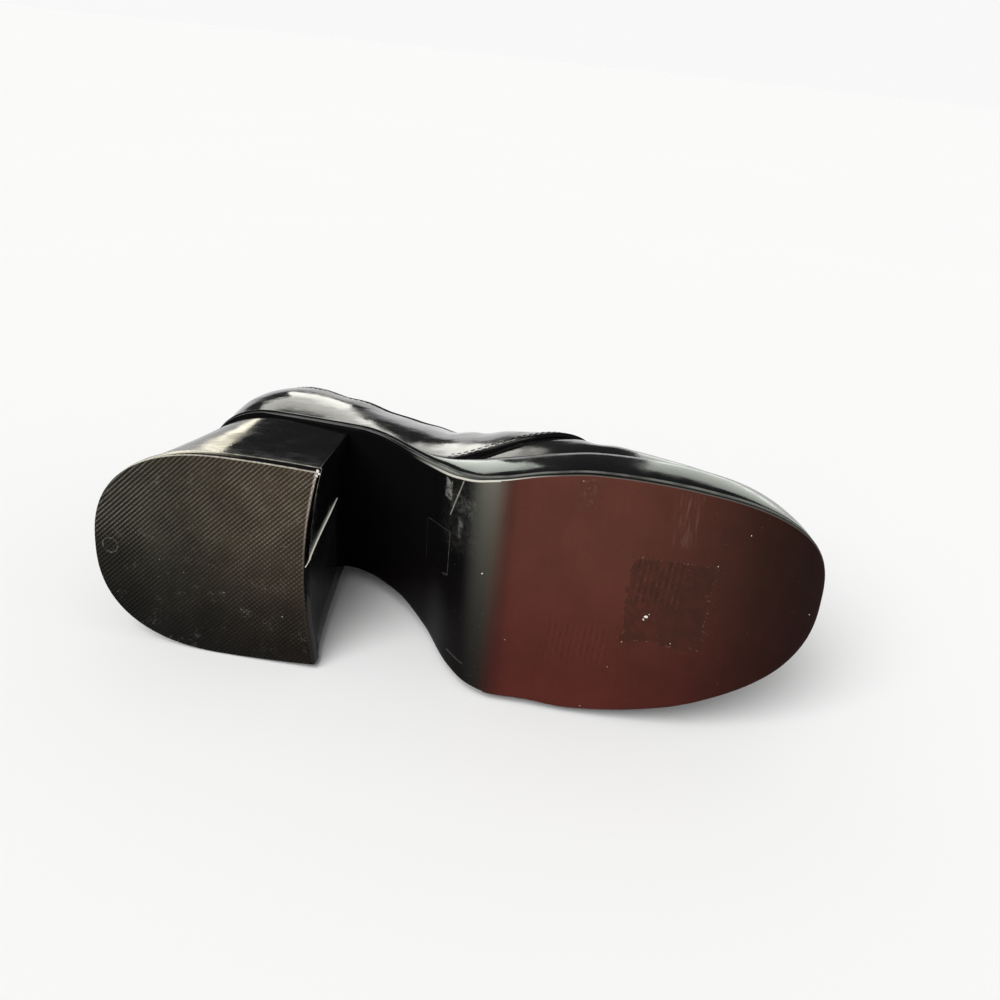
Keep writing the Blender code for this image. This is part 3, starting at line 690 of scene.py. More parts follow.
def shade(colour, *parts):
    """A colour made lighter or darker, as a whole or channel by channel."""
    return tuple(channel * part for channel, part in zip(colour, parts * (3 // len(parts))))


def between(a, b, share):
    return tuple(start + (end - start) * share for start, end in zip(a, b))


@lru_cache(maxsize=None)
def gloss_leather(name, waves=0.25, grain=0.02, shine=0.35, painted_welt_highlight=False):
    """Polished black leather: soft waves in the shine, fine grain, smudges, lint and hairlines, and if
    asked a painted highlight near its low edge.
    """
    black = colours().leather
    f = Finish(name, black)
    smudge = f.noise(24, 4, 0.6).ramp(0.48, 0.7)
    hairs = f.noise(1.2, 2, 0.5, (14, 1, 3), 0.5).ramp(0.71, 0.76)
    dust = f.noise(0.55, 1).ramp(0.76, 0.82)
    f.lay(shade(black, 2.2), smudge * 0.35)
    f.lay((0.12, 0.115, 0.105), hairs * 0.25 + dust * 0.5)
    if painted_welt_highlight:
        # Painted highlight: a broken pale line near the low edge of the platform's wall.
        edge = f.height_share().band(0.012, 0.028, 0.05, 0.07)
        f.lay((0.4, 0.4, 0.37), edge * f.noise(9, 4, 0.6).ramp(0.3, 0.6, 0.15, 0.35))
    f.emboss(f.noise(14, 2, 0.45), waves)
    f.emboss(f.grain(0.9), grain, 0.6)
    roughness = f.noise(7, 3).ramp(0.3, 0.7, 0.06, 0.13) + smudge * 0.12
    return f.finish(roughness, Specular_IOR_Level=shine)


def sole_finish(name):
    """Black waist, a painted pale sheen where it bends, then the oxblood tread, near black at the toe;
    painted shade darkens it towards the lateral side.
    """
    f = Finish(name)
    black, red, dark = colours().waist, colours().tread, colours().tread_toe
    stops = [(x, between(black, red, share)) for x, share in (
        (BREAST_X, 0), (145, 0), (147, 0.06), (150, 0.33), (153, 0.67), (156, 0.93), (159, 1))]
    stops += [(x, between(red, dark, share)) for x, share in ((190, 0), (208, 0.28), (222, 0.54), (240, 1))]
    f.lay_stops(f.x, BREAST_X, TOE_X, stops + [(256, shade(dark, 0.55))])
    # Painted shade: darker, and redder, towards the lateral side.
    f.lay((0.85, 0.58, 0.62), f.y.ramp(-30, 38), "MULTIPLY")
    # Painted sheen: a pale band added to the colour where the sole bends from the waist to the tread,
    # brighter towards the medial side, in place of the reflection there.
    painted_sheen = f.x.band(136.5, 145.5, 146.5, 154.5) * f.y.work_out("EXPONENT", f.y * (-1 / 33))
    f.lay((0.3, 0.295, 0.24), painted_sheen * PAINTED_SHEEN, "ADD")
    return f


@lru_cache(maxsize=None)
def waist_finish():
    """Polished black of the waist and of the sole's edge, with scuffs and the bare outline of a label, and
    painted highlights along its edges.
    """
    f = sole_finish("polished_waist")
    pale = (0.3, 0.295, 0.27)
    grit = f.noise(2.2, 5, 0.7).ramp(0.42, 0.62) | f.noise(0.8, 4, 0.75).ramp(0.42, 0.66)
    for x_range, y_range, soft, wobble, strength in (
            ((127.4, 130.6), (-33.6, -26.5), 0.4, 1.6, 0.7),
            ((134.2, 136.2), (-22, -15), 0.7, 2, 0.28),
            ((131, 141), (-31, -24.5), 1.5, 4, 0.1),
            ((128, 143), (-38, -10), 3, 7, 0.035)):
        f.lay(pale, f.box(x_range, y_range, soft, wobble) * grit * strength)
    f.lay(pale, f.noise(0.6, 1).ramp(0.76, 0.82) * f.x.ramp(118, 130) * 0.3)
    broken = f.noise(3, 4, 0.7).ramp(0.35, 0.6, 0.45, 1)
    for start, end, half, strength in (
            ((135.5, -36.5), (130.5, -21), 0.28, 0.8),
            ((133, 32), (140.5, 33), 0.4, 0.16),
            ((119.5, -12), (131, -14.5), 0.18, 0.1),
            ((131, -14.5), (131, 2.5), 0.2, 0.13),
            ((131, 2.5), (128.6, 3.7), 0.35, 0.14),
            ((119, -11.5), (119.5, 5), 0.15, 0.03)):
        f.lay(pale, f.line(start, end, half) * broken * strength)
    up = f.height_share()
    f.lay(colours().waist, up.ramp(0.02, 0.12))
    # Painted highlights: pale lines along the low and the high edge of the outsole, strongest at the waist.
    edges = up.band(0, 0.03, 0.12, 0.24) | up.ramp(0.86, 0.94)
    f.lay((0.5, 0.48, 0.42), edges * f.x.ramp(108, 130) * f.x.ramp(148, 172, 1, 0.14))
    f.emboss(f.noise(26, 1), 0.25)
    f.emboss(f.noise(0.7, 3, 0.6), 0.012, 0.5)
    roughness = f.x.ramp(126, 142, 0.1, 0.42) + f.noise(9, 4).ramp(0.45, 0.7, 0, 0.06)
    return f.finish(roughness, Specular_IOR_Level=0.02)


@lru_cache(maxsize=None)
def tread_finish():
    """Oxblood tread, near black at the toe, with faint cross ribs and a worn, stained patch; painted shade
    towards the toe, and painted shade and highlight along the ribs.
    """
    f = sole_finish("oxblood_tread")
    # Painted shade: darker towards the toe on the medial side.
    f.lay((0.62, 0.66, 0.68), f.x.ramp(200, 245) * f.y.ramp(15, -30) * 0.45, "MULTIPLY")
    f.lay((0.6, 0.7, 0.7), f.noise(16, 4, 0.6).ramp(0.35, 0.7) * 0.35, "MULTIPLY")
    streak = f.noise(3, 4, 0.7, (0.5, 9, 1)).ramp(0.45, 0.75)
    f.lay((0.5, 0.5, 0.5), streak * 0.12, "MULTIPLY")

    patch = f.box((196, 224), (-20.5, 11.5), 0.6, 9)
    stain = patch * f.noise(4, 5, 0.7).ramp(0.34, 0.6, 0.3, 1)
    f.lay((0.03, 0.0125, 0.0085), stain * 0.65)
    rim = patch * (1 - patch) * 4
    f.lay((0.25, 0.17, 0.14), rim * f.noise(0.8, 3, 0.7).ramp(0.56, 0.66) * 0.5)
    smear = f.noise(0.9, 4, 0.7, (1, 12, 1)).ramp(0.45, 0.65)
    f.lay((0.2, 0.14, 0.12), f.box((208.5, 216), (-45, -26), 1.5, 3) * smear * 0.16)
    smudge = f.noise(1.5, 4, 0.7).ramp(0.5, 0.65)
    f.lay((0.2, 0.14, 0.12), f.box((176, 182), (-47, -36), 2.5, 4) * smudge * 0.2)
    f.lay((0.3, 0.22, 0.19), f.noise(0.6, 1).ramp(0.77, 0.83) * 0.35)

    shown = f.box((168, 195), (6, 24), 5, 9) * 0.6
    shown = shown | f.box((197, 215), (-22, -2), 3, 6) * 0.75
    shown = shown | patch * 0.25 | f.noise(20).ramp(0.45, 0.65, 0.02, 0.1)
    worn = f.noise(2.6, 5, 0.7).ramp(0.38, 0.62, 0.15, 1)
    relief = f.ribs(sizes().tread_rib_pitch / MM, 0.08, 0.6) * shown * worn
    # Painted shade in the rib grooves and painted highlight on the rib crests.
    f.lay((0.02, 0.008, 0.006), relief.ramp(0, -1, 0, 0.6))
    f.lay((0.22, 0.11, 0.085), relief.ramp(0.2, 1, 0, 0.1))
    f.emboss(f.noise(22), 0.3)
    f.emboss(relief, sizes().tread_rib_depth / MM)
    f.emboss(f.noise(0.8, 3, 0.6), 0.03, 0.5)
    roughness = f.noise(11, 4).ramp(0.4, 0.7, 0.42, 0.52) - stain * 0.1
    return f.finish(roughness, Specular_IOR_Level=0.05)


@lru_cache(maxsize=None)
def heel_rubber_finish():
    """Dark rubber with fine slanted ribs and a weaker set across them; black side, worn breast edge;
    painted shade, and painted highlights on the ribs and along the medial edges.
    """
    rubber, pitch = colours().heel_rubber, sizes().heel_rib_pitch / MM
    f = Finish("ribbed_heel_rubber")
    strong = f.y.ramp(-16, 10, 1, 0.55) * f.x.ramp(8, 30, 2.4, 1)
    weak = (f.x.ramp(38, 72) * f.y.ramp(-30, -2, 0.1, 0.25)
            + f.x.ramp(26, 12) * f.y.ramp(-14, -2, 0.1, 0.4) + 0.12)
    worn = (f.noise(11, 4, 0.65).ramp(0.35, 0.62, 0.5, 1)
            * f.noise(1.5, 3, 0.6).ramp(0.35, 0.6, 0.55, 1.1))
    relief = (f.ribs(pitch, math.radians(46), 0.12) * strong
              + f.ribs(pitch * 1.03, math.radians(-47.5), 0.12) * weak) * worn

    f.colour = shade(rubber, 0.9, 1, 1)
    f.lay(shade(rubber, 1.15, 0.93, 0.88), f.x.ramp(15, 70))
    f.lay((0.92, 1.02, 0.82), f.noise(14, 3).ramp(0.42, 0.62, 0, 0.8), "MULTIPLY")
    # Painted highlight on the rib crests and painted shade in their grooves.
    f.lay(shade(rubber, 2.9), relief.ramp(0, 1, 0, 0.9))
    f.lay((0.3, 0.29, 0.26), relief.ramp(0.9, 2.2, 0, 0.6))
    f.lay(shade(rubber, 0.35), relief.ramp(0.5, -0.7, 0, 0.6))
    # Painted shade: the tread darker towards the lateral side and at the back, lighter towards the breast,
    # in soft patches.
    back = f.x.ramp(28, 8) * f.y.ramp(-14, 10, 0, 0.5)
    depth = (f.y.ramp(-20, 40, 0.7, 0.1) * f.x.ramp(35, 75, 1, 1.5) * (1 - back)
             * f.noise(16, 5, 0.6).ramp(0.3, 0.7, 0.78, 1.22))
    f.lay(new_node(f.tree, "CombineColor", {0: depth, 1: depth, 2: depth}), 1, "MULTIPLY")
    f.lay((0.3, 0.28, 0.25), f.noise(0.5, 1).ramp(0.73, 0.8) * 0.35)
    rubbed = f.noise(7, 5, 0.7).ramp(0.55, 0.72) * f.noise(0.7).ramp(0.45, 0.6)
    f.lay((0.26, 0.23, 0.22), rubbed * 0.22)
    from_mark = ((f.x - 7) ** 2 + (f.y - 3.2) ** 2) ** 0.5
    ring = abs(from_mark - 2.9).ramp(0.35, 0.1) * f.noise(2, 3).ramp(0.35, 0.6)
    f.lay((0.24, 0.23, 0.21), ring * 0.35)

    off_centre = (f.y - HEEL_GROUND["centre"]) * (1 / HEEL_GROUND["half"])
    bow = HEEL_GROUND["corner"] - HEEL_GROUND["breast"]
    to_edge = off_centre ** 2 * bow + HEEL_GROUND["breast"] - f.x
    frayed = to_edge + (f.noise(1.1, 5, 0.75) - 0.5) * f.y.ramp(-24, -34, 0.5, 2.6)
    f.lay((0.36, 0.3, 0.27), frayed.ramp(0.8, 0.2) * f.y.ramp(8, -34, 0.03, 1) * 0.85)
    # Painted highlight: a pale line along the tread's rim on the medial side.
    f.lay((0.4, 0.37, 0.31), f.z.ramp(0.03, 0.12) * f.y.ramp(-12, -32) * 0.7)
    on_side = f.z.ramp(0.3, 0.75)
    f.lay(colours().waist, on_side)
    # Painted highlights: two pale lines along the medial side of the top piece.
    painted_side_highlights = f.z.ramp(1.3, 0.8) | f.z.ramp(4.4, 5)
    painted_side_highlights = painted_side_highlights * f.z.ramp(0.1, 0.3) * f.y.ramp(-16, -30)
    f.lay((0.55, 0.52, 0.44), painted_side_highlights * f.noise(5, 4, 0.7).ramp(0.35, 0.6, 0.3, 0.85))
    f.emboss(f.noise(1.6, 4, 0.65), 0.06, 0.6)
    f.emboss(relief * (1 - on_side), sizes().heel_rib_depth / MM)
    roughness = on_side * -0.39 + 0.55 + f.noise(9, 3).ramp(0.3, 0.7, -0.04, 0.06)
    return f.finish(roughness, Specular_IOR_Level=0.07)


def raw_edge_and_highlight_finish():
    """Cut edge of leather, pale, and made near white so that it also serves as a painted highlight along
    the lap's raised edge.
    """
    f = Finish("raw_leather_edge", (0.75, 0.73, 0.67))
    f.lay((0.95, 0.93, 0.88), f.noise(1.4, 4, 0.7))
    f.emboss(f.noise(0.5, 3), 0.04)
    return f.finish(0.35, Specular_IOR_Level=0.6)


@lru_cache(maxsize=None)
def lining_finish():
    """Smooth lining leather, a little creased and darker where the foot rubs."""
    f = Finish("lining_leather", colours().lining)
    rubbed = f.noise(18, 4, 0.6).ramp(0.35, 0.7)
    f.lay(shade(colours().lining, 0.55), rubbed)
    f.emboss(f.noise(6, 3), 0.25)
    f.emboss(f.grain(0.7), 0.05, 0.8)
    return f.finish(rubbed.ramp(0, 1, 0.55, 0.4))


def thread_finish():
    f = Finish("waxed_thread", colours().thread)
    f.lay(shade(colours().thread, 2), f.noise(1))
    f.emboss(f.ribs(0.45, 0.9), 0.05)
    return f.finish(0.6, Specular_IOR_Level=0.2)


def lace_finish():
    """Round waxed lace with a fine twill of braided yarns."""
    f = Finish("braided_lace", (0.006, 0.006, 0.006))
    weave = f.ribs(0.9, 0.8) * f.ribs(0.9, -0.8)
    f.lay((0.035, 0.034, 0.033), weave.ramp(-1, 1))
    f.emboss(weave, 0.12)
    return f.finish(0.5, Sheen_Weight=0.2)


@lru_cache(maxsize=None)
def eyelet_finish():
    """Blackened metal, rubbed bright on the lip."""
    f = Finish("blackened_eyelet", (0.02, 0.02, 0.022))
    worn = f.noise(1.6, 4, 0.7).ramp(0.5, 0.68)
    f.lay((0.18, 0.15, 0.1), worn)
    return f.finish(worn.ramp(0, 1, 0.3, 0.22), Metallic=1)


def crumb_finish():
    f = Finish("pale_crumb", (0.4, 0.36, 0.33))
    f.lay((0.85, 0.8, 0.76), f.noise(0.4, 3))
    return f.finish(0.8)


def floor_finish():
    shade_of_floor = colours().floor
    f = Finish("pale_floor", shade_of_floor)
    f.lay([min(1, part) for part in shade(shade_of_floor, 1.015)], f.noise(400))
    return f.finish(0.9, Specular_IOR_Level=0)


# --- what a user would change ---

def length(name, description, default, low, high):
    return bpy.props.FloatProperty(name=name, description=description, default=default, min=low, max=high,
                                   unit="LENGTH", subtype="DISTANCE")


def colour(name, description, *default):
    return bpy.props.FloatVectorProperty(name=name, description=description, default=default, size=3,
                                         subtype="COLOR", min=0, max=1)


class DerbySizes(bpy.types.PropertyGroup):
    """Sizes of the finishing work."""

    lace_radius: length("Lace radius", "Half the thickness of the round lace", 0.0012, 0.0005, 0.003)
    stitch_length: length("Stitch length", "Length of one stitch with its gap", 0.0028, 0.001, 0.006)
    heel_rib_pitch: length("Heel rib pitch", "Distance between the fine ribs under the heel",
                           0.001352, 0.0005, 0.005)
    heel_rib_depth: length("Heel rib depth", "Height of the ribs under the heel", 0.00022, 0, 0.001)
    tread_rib_pitch: length("Tread rib pitch", "Distance between the faint ribs across the forefoot",
                            0.0021, 0.0005, 0.006)
    tread_rib_depth: length("Tread rib depth", "Height of the faint ribs across the forefoot",
                            0.00008, 0, 0.001)
    binding_radius: length("Binding radius", "Half the thickness of the rolled edge of the collar",
                           0.002, 0.001, 0.004)


class DerbyColours(bpy.types.PropertyGroup):
    """Colours of the materials, as linear values."""

    leather: colour("Leather", "Polished leather of the upper, platform and heel", 0.006, 0.006, 0.0063)
    waist: colour("Waist", "Polished waist and edge of the outsole", 0.0035, 0.0035, 0.0035)
    tread: colour("Tread", "Oxblood forefoot of the outsole", 0.083, 0.026, 0.018)
    tread_toe: colour("Tread at the toe", "Darker front end of the outsole", 0.0275, 0.0096, 0.0063)
    heel_rubber: colour("Heel rubber", "Ribbed top piece under the heel", 0.0445, 0.038, 0.0285)
    lining: colour("Lining", "Leather inside the shoe", 0.22, 0.175, 0.135)
    thread: colour("Thread", "Waxed sewing thread", 0.012, 0.012, 0.012)
    floor: colour("Floor", "Plain floor under the shoe", 0.86, 0.86, 0.855)


# --- pieces ---

def build_outsole():
    bm = sole_body(OUTSOLE_ROWS, 170, lambda x, up: under_z(x) + (outsole_top_z(x) - under_z(x)) * up)
    for face in bm.faces:
        middle = face.calc_center_median()
        if middle.x > TREAD_FROM_X and middle.z < under_z(middle.x) + 0.2:
            face.material_index = 1
    return keep_piece("outsole_finished", bm, ["outsole"], [waist_finish(), tread_finish()])


def build_platform():

    def height(x, up):
        low = outsole_top_z(x) + GAP * 0.5
        return low + (feather_z(x) - low) * up

    return keep_piece("platform_finished", sole_body(PLATFORM_ROWS, 130, height, TOE_SETBACK),
                      ["platform"],
                      [gloss_leather("platform_leather", 0.12, 0.012, 0.2, painted_welt_highlight=True)])


def heel_sizes(part):
    """Outline sizes of the heel, part of the way from the ground to the seat."""
    return {name: low + (HEEL_SEAT[name] - low) * part ** 0.75 for name, low in HEEL_GROUND.items()}


def heel_body(levels, corner_round):
    """Closed body of the heel; each level is an outline's sizes, its inset and its height by X."""
    outlines = [heel_outline(size, inset, count=70, breast_count=24) for size, inset, _height in levels]
    around = len(outlines[0])

    def place(column, row):
        x, y = outlines[row][column % around]
        return Vector((x, y, levels[row][2](x)))

    bm = shaped_grid(around, len(levels) - 1, place)
    bmesh.ops.remove_doubles(bm, verts=bm.verts, dist=0.001)
    bmesh.ops.edgeloop_fill(bm, edges=[edge for edge in bm.edges if edge.is_boundary])
    corners = [edge for edge in bm.edges if len(edge.link_faces) == 2
               and edge.calc_face_angle() > math.radians(50)
               and abs(edge.verts[0].co.z - edge.verts[1].co.z) > 0.2]
    bmesh.ops.bevel(bm, geom=corners, offset=corner_round, segments=3, profile=0.5, affect="EDGES",
                    material=-1)
    return bm


def build_heel_top_piece():
    edge = 0.35
    levels = [(HEEL_GROUND, inset, lambda x, z=z: z) for z, inset in (
        (0, edge), (edge * 0.3, edge * 0.3), (edge, 0), (TOP_PIECE_THICK * 0.5, -0.12),
        (TOP_PIECE_THICK - edge, 0), (TOP_PIECE_THICK, edge))]
    return keep_piece("heel_top_piece_finished", heel_body(levels, 0.5), ["heel_top_piece"],
                      [heel_rubber_finish()], smooth_angle=30)


def build_heel_block():
    foot, steps, inset, foot_inset = TOP_PIECE_THICK + GAP * 0.5, 16, 0.25, 0.9
    levels = [(heel_sizes(k / steps), inset if k else foot_inset,
               lambda x, part=k / steps: foot + (under_z(x) - GAP - foot) * part) for k in range(steps + 1)]
    levels.insert(1, (heel_sizes(0.008), inset + 0.05, lambda x: foot + 0.6))
    return keep_piece("heel_block_finished", heel_body(levels, 0.9), ["heel_block"],
                      [gloss_leather("heel_leather", 0.2, 0.015, 0.05)])


def build_breast_lap():
    """Overlap of the heel's cover down its hollow breast: its raised edge shows the pale cut leather, made
    near white as a painted highlight too.
    """
    columns, rows = 18, 30
    foot, top, proud, sunk, short_of_corner = 1.2, 50.5, 0.36, 0.3, 6
    edge_foot_y, edge_slant, cut_width = 1.6, 7.6 / 45, 0.16
    block_foot = TOP_PIECE_THICK + GAP

    def place(column, row):
        z = foot + (top - foot) * row / rows
        size = heel_sizes(clamp((z - block_foot) / (under_z(78) - block_foot)))
        edge_y = edge_foot_y - edge_slant * (z - foot)
        share = max(0, column - 1) / (columns - 1)
        y = edge_y + (size["centre"] + size["half"] - short_of_corner - edge_y) * share
        taper = 1 - ease(0.75, 1, row / rows) * 0.9
        rise = proud * taper * (1 - ease(0, 0.7, share)) if column else -sunk
        y -= cut_width * taper if column == 0 else 0
        v = (y - size["centre"]) / (size["half"] - HEEL_NARROWING)
        x = size["breast"] + (size["corner"] - size["breast"]) * v * v
        return Vector((x + rise - 0.2 * share, y, z))

    bm = shaped_grid(columns, rows, place)
    bm.verts.index_update()
    for face in bm.faces:
        face.material_index = any(vert.index % (columns + 1) == 0 for vert in face.verts)
    piece = keep_piece("breast_lap", bm, [],
                       [gloss_leather("lap_leather", 0.2, 0.015, 0.01), raw_edge_and_highlight_finish()], smooth_angle=30)
    return add_wall(piece, 0.5, edge=0)


def build_insole():
    inset, cup_height = UPPER_INSET + WALL + 0.4, 1.6
    count, columns = 90, 14
    prints = ((45, 24, 0.6, 0.7), (180, 28, 0.7, 0.6))     # x, length, width, depth under heel and ball
    stations = even_stations(count, lambda x: upper_half(x, inset), SEAT_BACK_X + inset + 0.05,
                             UPPER_TOE_X - inset - 0.05)

    def place(column, row):
        x = stations[column]
        across = 1 - 2 * row / columns
        cup = cup_height * (1 - ease(40, 95, x)) * across ** 4
        pressed = sum(deep * math.exp(-((x - at) / long) ** 2 - (across / wide) ** 2)
                      for at, long, wide, deep in prints)
        return Vector((x, centre_y(x) + upper_half(x, inset) * across,
                       feather_z(x) + GAP + INSOLE_THICK + cup - pressed))

    piece = keep_piece("insole_finished", shaped_grid(count, columns, place), ["insole"],
                       [lining_finish()])
    return add_wall(piece, INSOLE_THICK * 0.8)


def last_sheet(stations, rows, low, high, lift):
    """Both sides of a wall round the last, joined at its back and along its crown."""
    bm = bmesh.new()
    for side in (LATERAL, MEDIAL):

        def place(column, row):
            x = stations[column]
            start = low(x)
            return skin_point(x, start + (high(x) - start) * row / rows, side, lift)

        shaped_grid(len(stations) - 1, rows, place, bm)
    return bm


def upper_stations():
    return even_stations(150, upper_half, LAST_BACK_X, LAST_TOE_X)


def upper_leather():
    return gloss_leather("upper_leather", 0.22, 0.02)


def quarter_leather():
    return gloss_leather("quarter_leather", 0.25, 0.02)


def build_upper():
    bm = last_sheet(upper_stations(), 44, lambda x: 0, top_turn, 0)
    piece = keep_piece("upper_finished", bm, ["upper"], [upper_leather(), lining_finish()])
    return add_wall(piece, WALL, inner_material=1)


def build_quarters():
    stations = [x for x in upper_stations() if x < QUARTER_TIP_X - 0.5] + [QUARTER_TIP_X]
    bm = last_sheet(stations, 40, quarter_low_turn, quarter_top_turn, QUARTER_GAP + QUARTER_THICK)
    piece = keep_piece("quarters_finished", bm, ["quarters"], [quarter_leather()])
    return add_wall(piece, QUARTER_THICK + QUARTER_GAP * 0.7, edge=0.45)


def build_tongue():
    front, count, columns = THROAT_X + 4, 60, 22
    under, narrowing, rounding, flattening = WALL + 2.6, 2.5, 0.4, 0.6

    def place(column, row):
        x = front + (TONGUE_TOP_X - front) * column / count
        reach = TONGUE_REACH - narrowing * (front - x) / (front - TONGUE_TOP_X)
        reach *= 1 - rounding * max(0, (TONGUE_TOP_X + TONGUE_ROUND - x) / TONGUE_ROUND) ** 2
        part = 1 - 2 * row / columns
        side = LATERAL if part >= 0 else MEDIAL
        crown = last_point(x, AT_CROWN, side, under)
        point = last_point(x, turn_at_reach(x, abs(part) * reach), side, under)
        flatter = flattening * (1 - ease(COLLAR_END_X - 21, COLLAR_END_X - 10, x))
        point.z += flatter * (crown.z - point.z)
        return point

    piece = keep_piece("tongue_finished", shaped_grid(count, columns, place), ["tongue"],
                       [upper_leather(), lining_finish()])
    return add_wall(piece, TONGUE_THICK, inner_material=1, edge=0.7)


def eyelet_turn(x):
    """Turn of an eyelet: its distance from the facing's edge, measured round the section."""
    turn, distance, step = turn_at_reach(x, facing_gap(x)), 0, math.radians(0.5)
    while distance < EYELET_SET_IN:
        here = last_point(x, turn, LATERAL)
        turn -= step
        distance += (last_point(x, turn, LATERAL) - here).length
    return turn


@lru_cache(maxsize=None)
def eyelet_places():
    """Place along the shoe, signed reach, foot and normal of each eyelet, from the vamp up."""
    places = {}
    for row, x in enumerate(places_between(EYELET_FIRST_X, EYELET_LAST_X, EYELET_ROWS - 1)):
        turn = eyelet_turn(x)
        for side in (LATERAL, MEDIAL):
            normal = skin_normal(x, turn, side)
            foot = last_point(x, turn, side) + normal * (QUARTER_GAP + QUARTER_THICK + EYELET_GAP)
            reach = side * last_size(x)[0] * math.cos(turn) ** (2 / smooth(LAST, FULLNESS, x))
            places[row, side] = (x, reach, foot, normal)
    return places


def build_eyelets():
    """A rolled ring in each eyelet hole, with a dark mouth."""
    profile = ((EYELET_HOLE, -0.9), (EYELET_HOLE - 0.05, 0.1), (EYELET_HOLE + 0.15, 0.55),
               (EYELET_HOLE + 0.5, EYELET_HEIGHT), (EYELET_RADIUS - 0.6, EYELET_HEIGHT - 0.05),
               (EYELET_RADIUS - 0.15, 0.45), (EYELET_RADIUS, -0.35), (EYELET_RADIUS - 0.3, -0.5),
               (EYELET_HOLE + 0.4, -0.9))
    for (row, side), (_x, _reach, foot, normal) in eyelet_places().items():
        word = "lateral" if side == LATERAL else "medial"
        bm = bmesh.new()
        verts = [bm.verts.new((r, 0, z)) for r, z in profile]
        edges = [bm.edges.new((a, b)) for a, b in zip(verts, verts[1:] + verts[:1])]
        bmesh.ops.spin(bm, geom=verts + edges, cent=(0, 0, 0), axis=(0, 0, 1), angle=math.tau, steps=32,
                       use_merge=True)
        turned = normal.to_track_quat("Z", "Y").to_matrix().to_4x4()
        bmesh.ops.transform(bm, matrix=Matrix.Translation(foot) @ turned, verts=bm.verts)
        keep_piece(f"eyelet_ring_{word}_{row + 1}", bm, [f"eyelet_{word}_{row + 1}"],
                   [eyelet_finish()], smooth_angle=60)


def lace_stretches():
    """Stretches of the lace: each point is a place along the shoe, a signed reach and a lift."""
    ends = {key: place[:2] for key, place in eyelet_places().items()}
    over, under, through = 3.5, -(WALL + 1.3), 1
    start, end = ends[0, LATERAL], ends[0, MEDIAL]
    bar = [(*start, under)]
    for share, lift in ((1, through), (0.93, over + 1.1), (0.6, over), (0.2, over), (-0.2, over),
                        (-0.6, over), (-0.93, over + 1.1), (-1, through)):
        x, reach = start if share > 0 else end
        bar.append((x, abs(reach) * share, lift))
    yield bar + [(*end, under)]
    parts = (0, 0, 0.06, 0.2, 0.36, 0.5, 0.66, 0.82, 0.97, 1, 1)
    for row in range(EYELET_ROWS - 1):
        for side in (LATERAL, MEDIAL):
            a, b = ends[row, side], ends[row + 1, -side]
            crossing = 1.3 * side
            lifts = [under, through, over + 1.1, over, over * 0.8, crossing]
            if row == 0:
                lifts = [under, under, under, under * 0.8, -0.4, crossing - 0.6]
            lifts += [under * 0.75, under, under, through, over - 0.6]
            yield [(*between(a, b, part), lift) for part, lift in zip(parts, lifts)]


def build_lace():
    """Round lace through the eyelets: a bar at the vamp, then crossings up to the top pair."""
    paths = [[last_point(x, turn_at_reach(x, abs(reach)), LATERAL if reach >= 0 else MEDIAL, -lift)
              for x, reach, lift in stretch] for stretch in lace_stretches()]
    return keep_cord("lace_finished", sizes().lace_radius, 6, paths, ["lace"], lace_finish())


def build_collar_binding():
    """Rolled leather edge round the collar, from the lateral facing round the back to the medial one."""
    xs = places_between(COLLAR_END_X + 1, LAST_BACK_X, 60, slow_end)
    lateral, medial = ([skin_point(x, top_turn(x), side, 0.1) for x in xs] for side in (LATERAL, MEDIAL))
    return keep_cord("collar_binding", sizes().binding_radius, 3, [lateral + medial[-2::-1]],
                     [], quarter_leather())


def quarter_seam(side, edge_turn, xs, inward):
    """Path that follows an edge of the quarter at a distance, with its normals."""
    edge = [skin_point(x, edge_turn(x), side, QUARTER_GAP + QUARTER_THICK) for x in xs]
    path = []
    for k, x in enumerate(xs):
        normal = skin_normal(x, edge_turn(x), side)
        run = edge[min(k + 1, len(xs) - 1)] - edge[max(k - 1, 0)]
        path.append((edge[k] + normal.cross(run).normalized() * inward, normal))
    return path


def build_stitching():
    """Rows of thread along the quarters' front curve, the facings and the collar."""
    steps, stitch = 120, sizes().stitch_length / MM
    front_xs = places_between(QUARTER_FOOT_X + 2, QUARTER_TIP_X - 3, steps, slow_end)
    facing_xs = places_between(COLLAR_END_X + 1, QUARTER_TIP_X - 4, steps)
    collar_xs = places_between(LAST_BACK_X + 1, COLLAR_END_X - 2, steps, slow_start)
    shape = Matrix.Diagonal((stitch * 0.78, 0.5, 0.3, 1))
    bm = bmesh.new()
    for side in (LATERAL, MEDIAL):
        for edge_turn, xs, inward in ((quarter_low_turn, front_xs, -2), (quarter_low_turn, front_xs, -4.2),
                                      (quarter_top_turn, facing_xs, 2.2), (top_turn, collar_xs, 4.5)):
            for point, run, normal in even_path(quarter_seam(side, edge_turn, xs, side * inward), stitch):
                turned = Matrix((run, normal.cross(run).normalized(), normal)).transposed().to_4x4()
                bmesh.ops.create_uvsphere(bm, u_segments=6, v_segments=4, radius=0.5,
                                          matrix=Matrix.Translation(point) @ turned @ shape)
    return keep_piece("quarter_stitching", bm, [], [thread_finish()], smooth_angle=80,
                      closed=False)


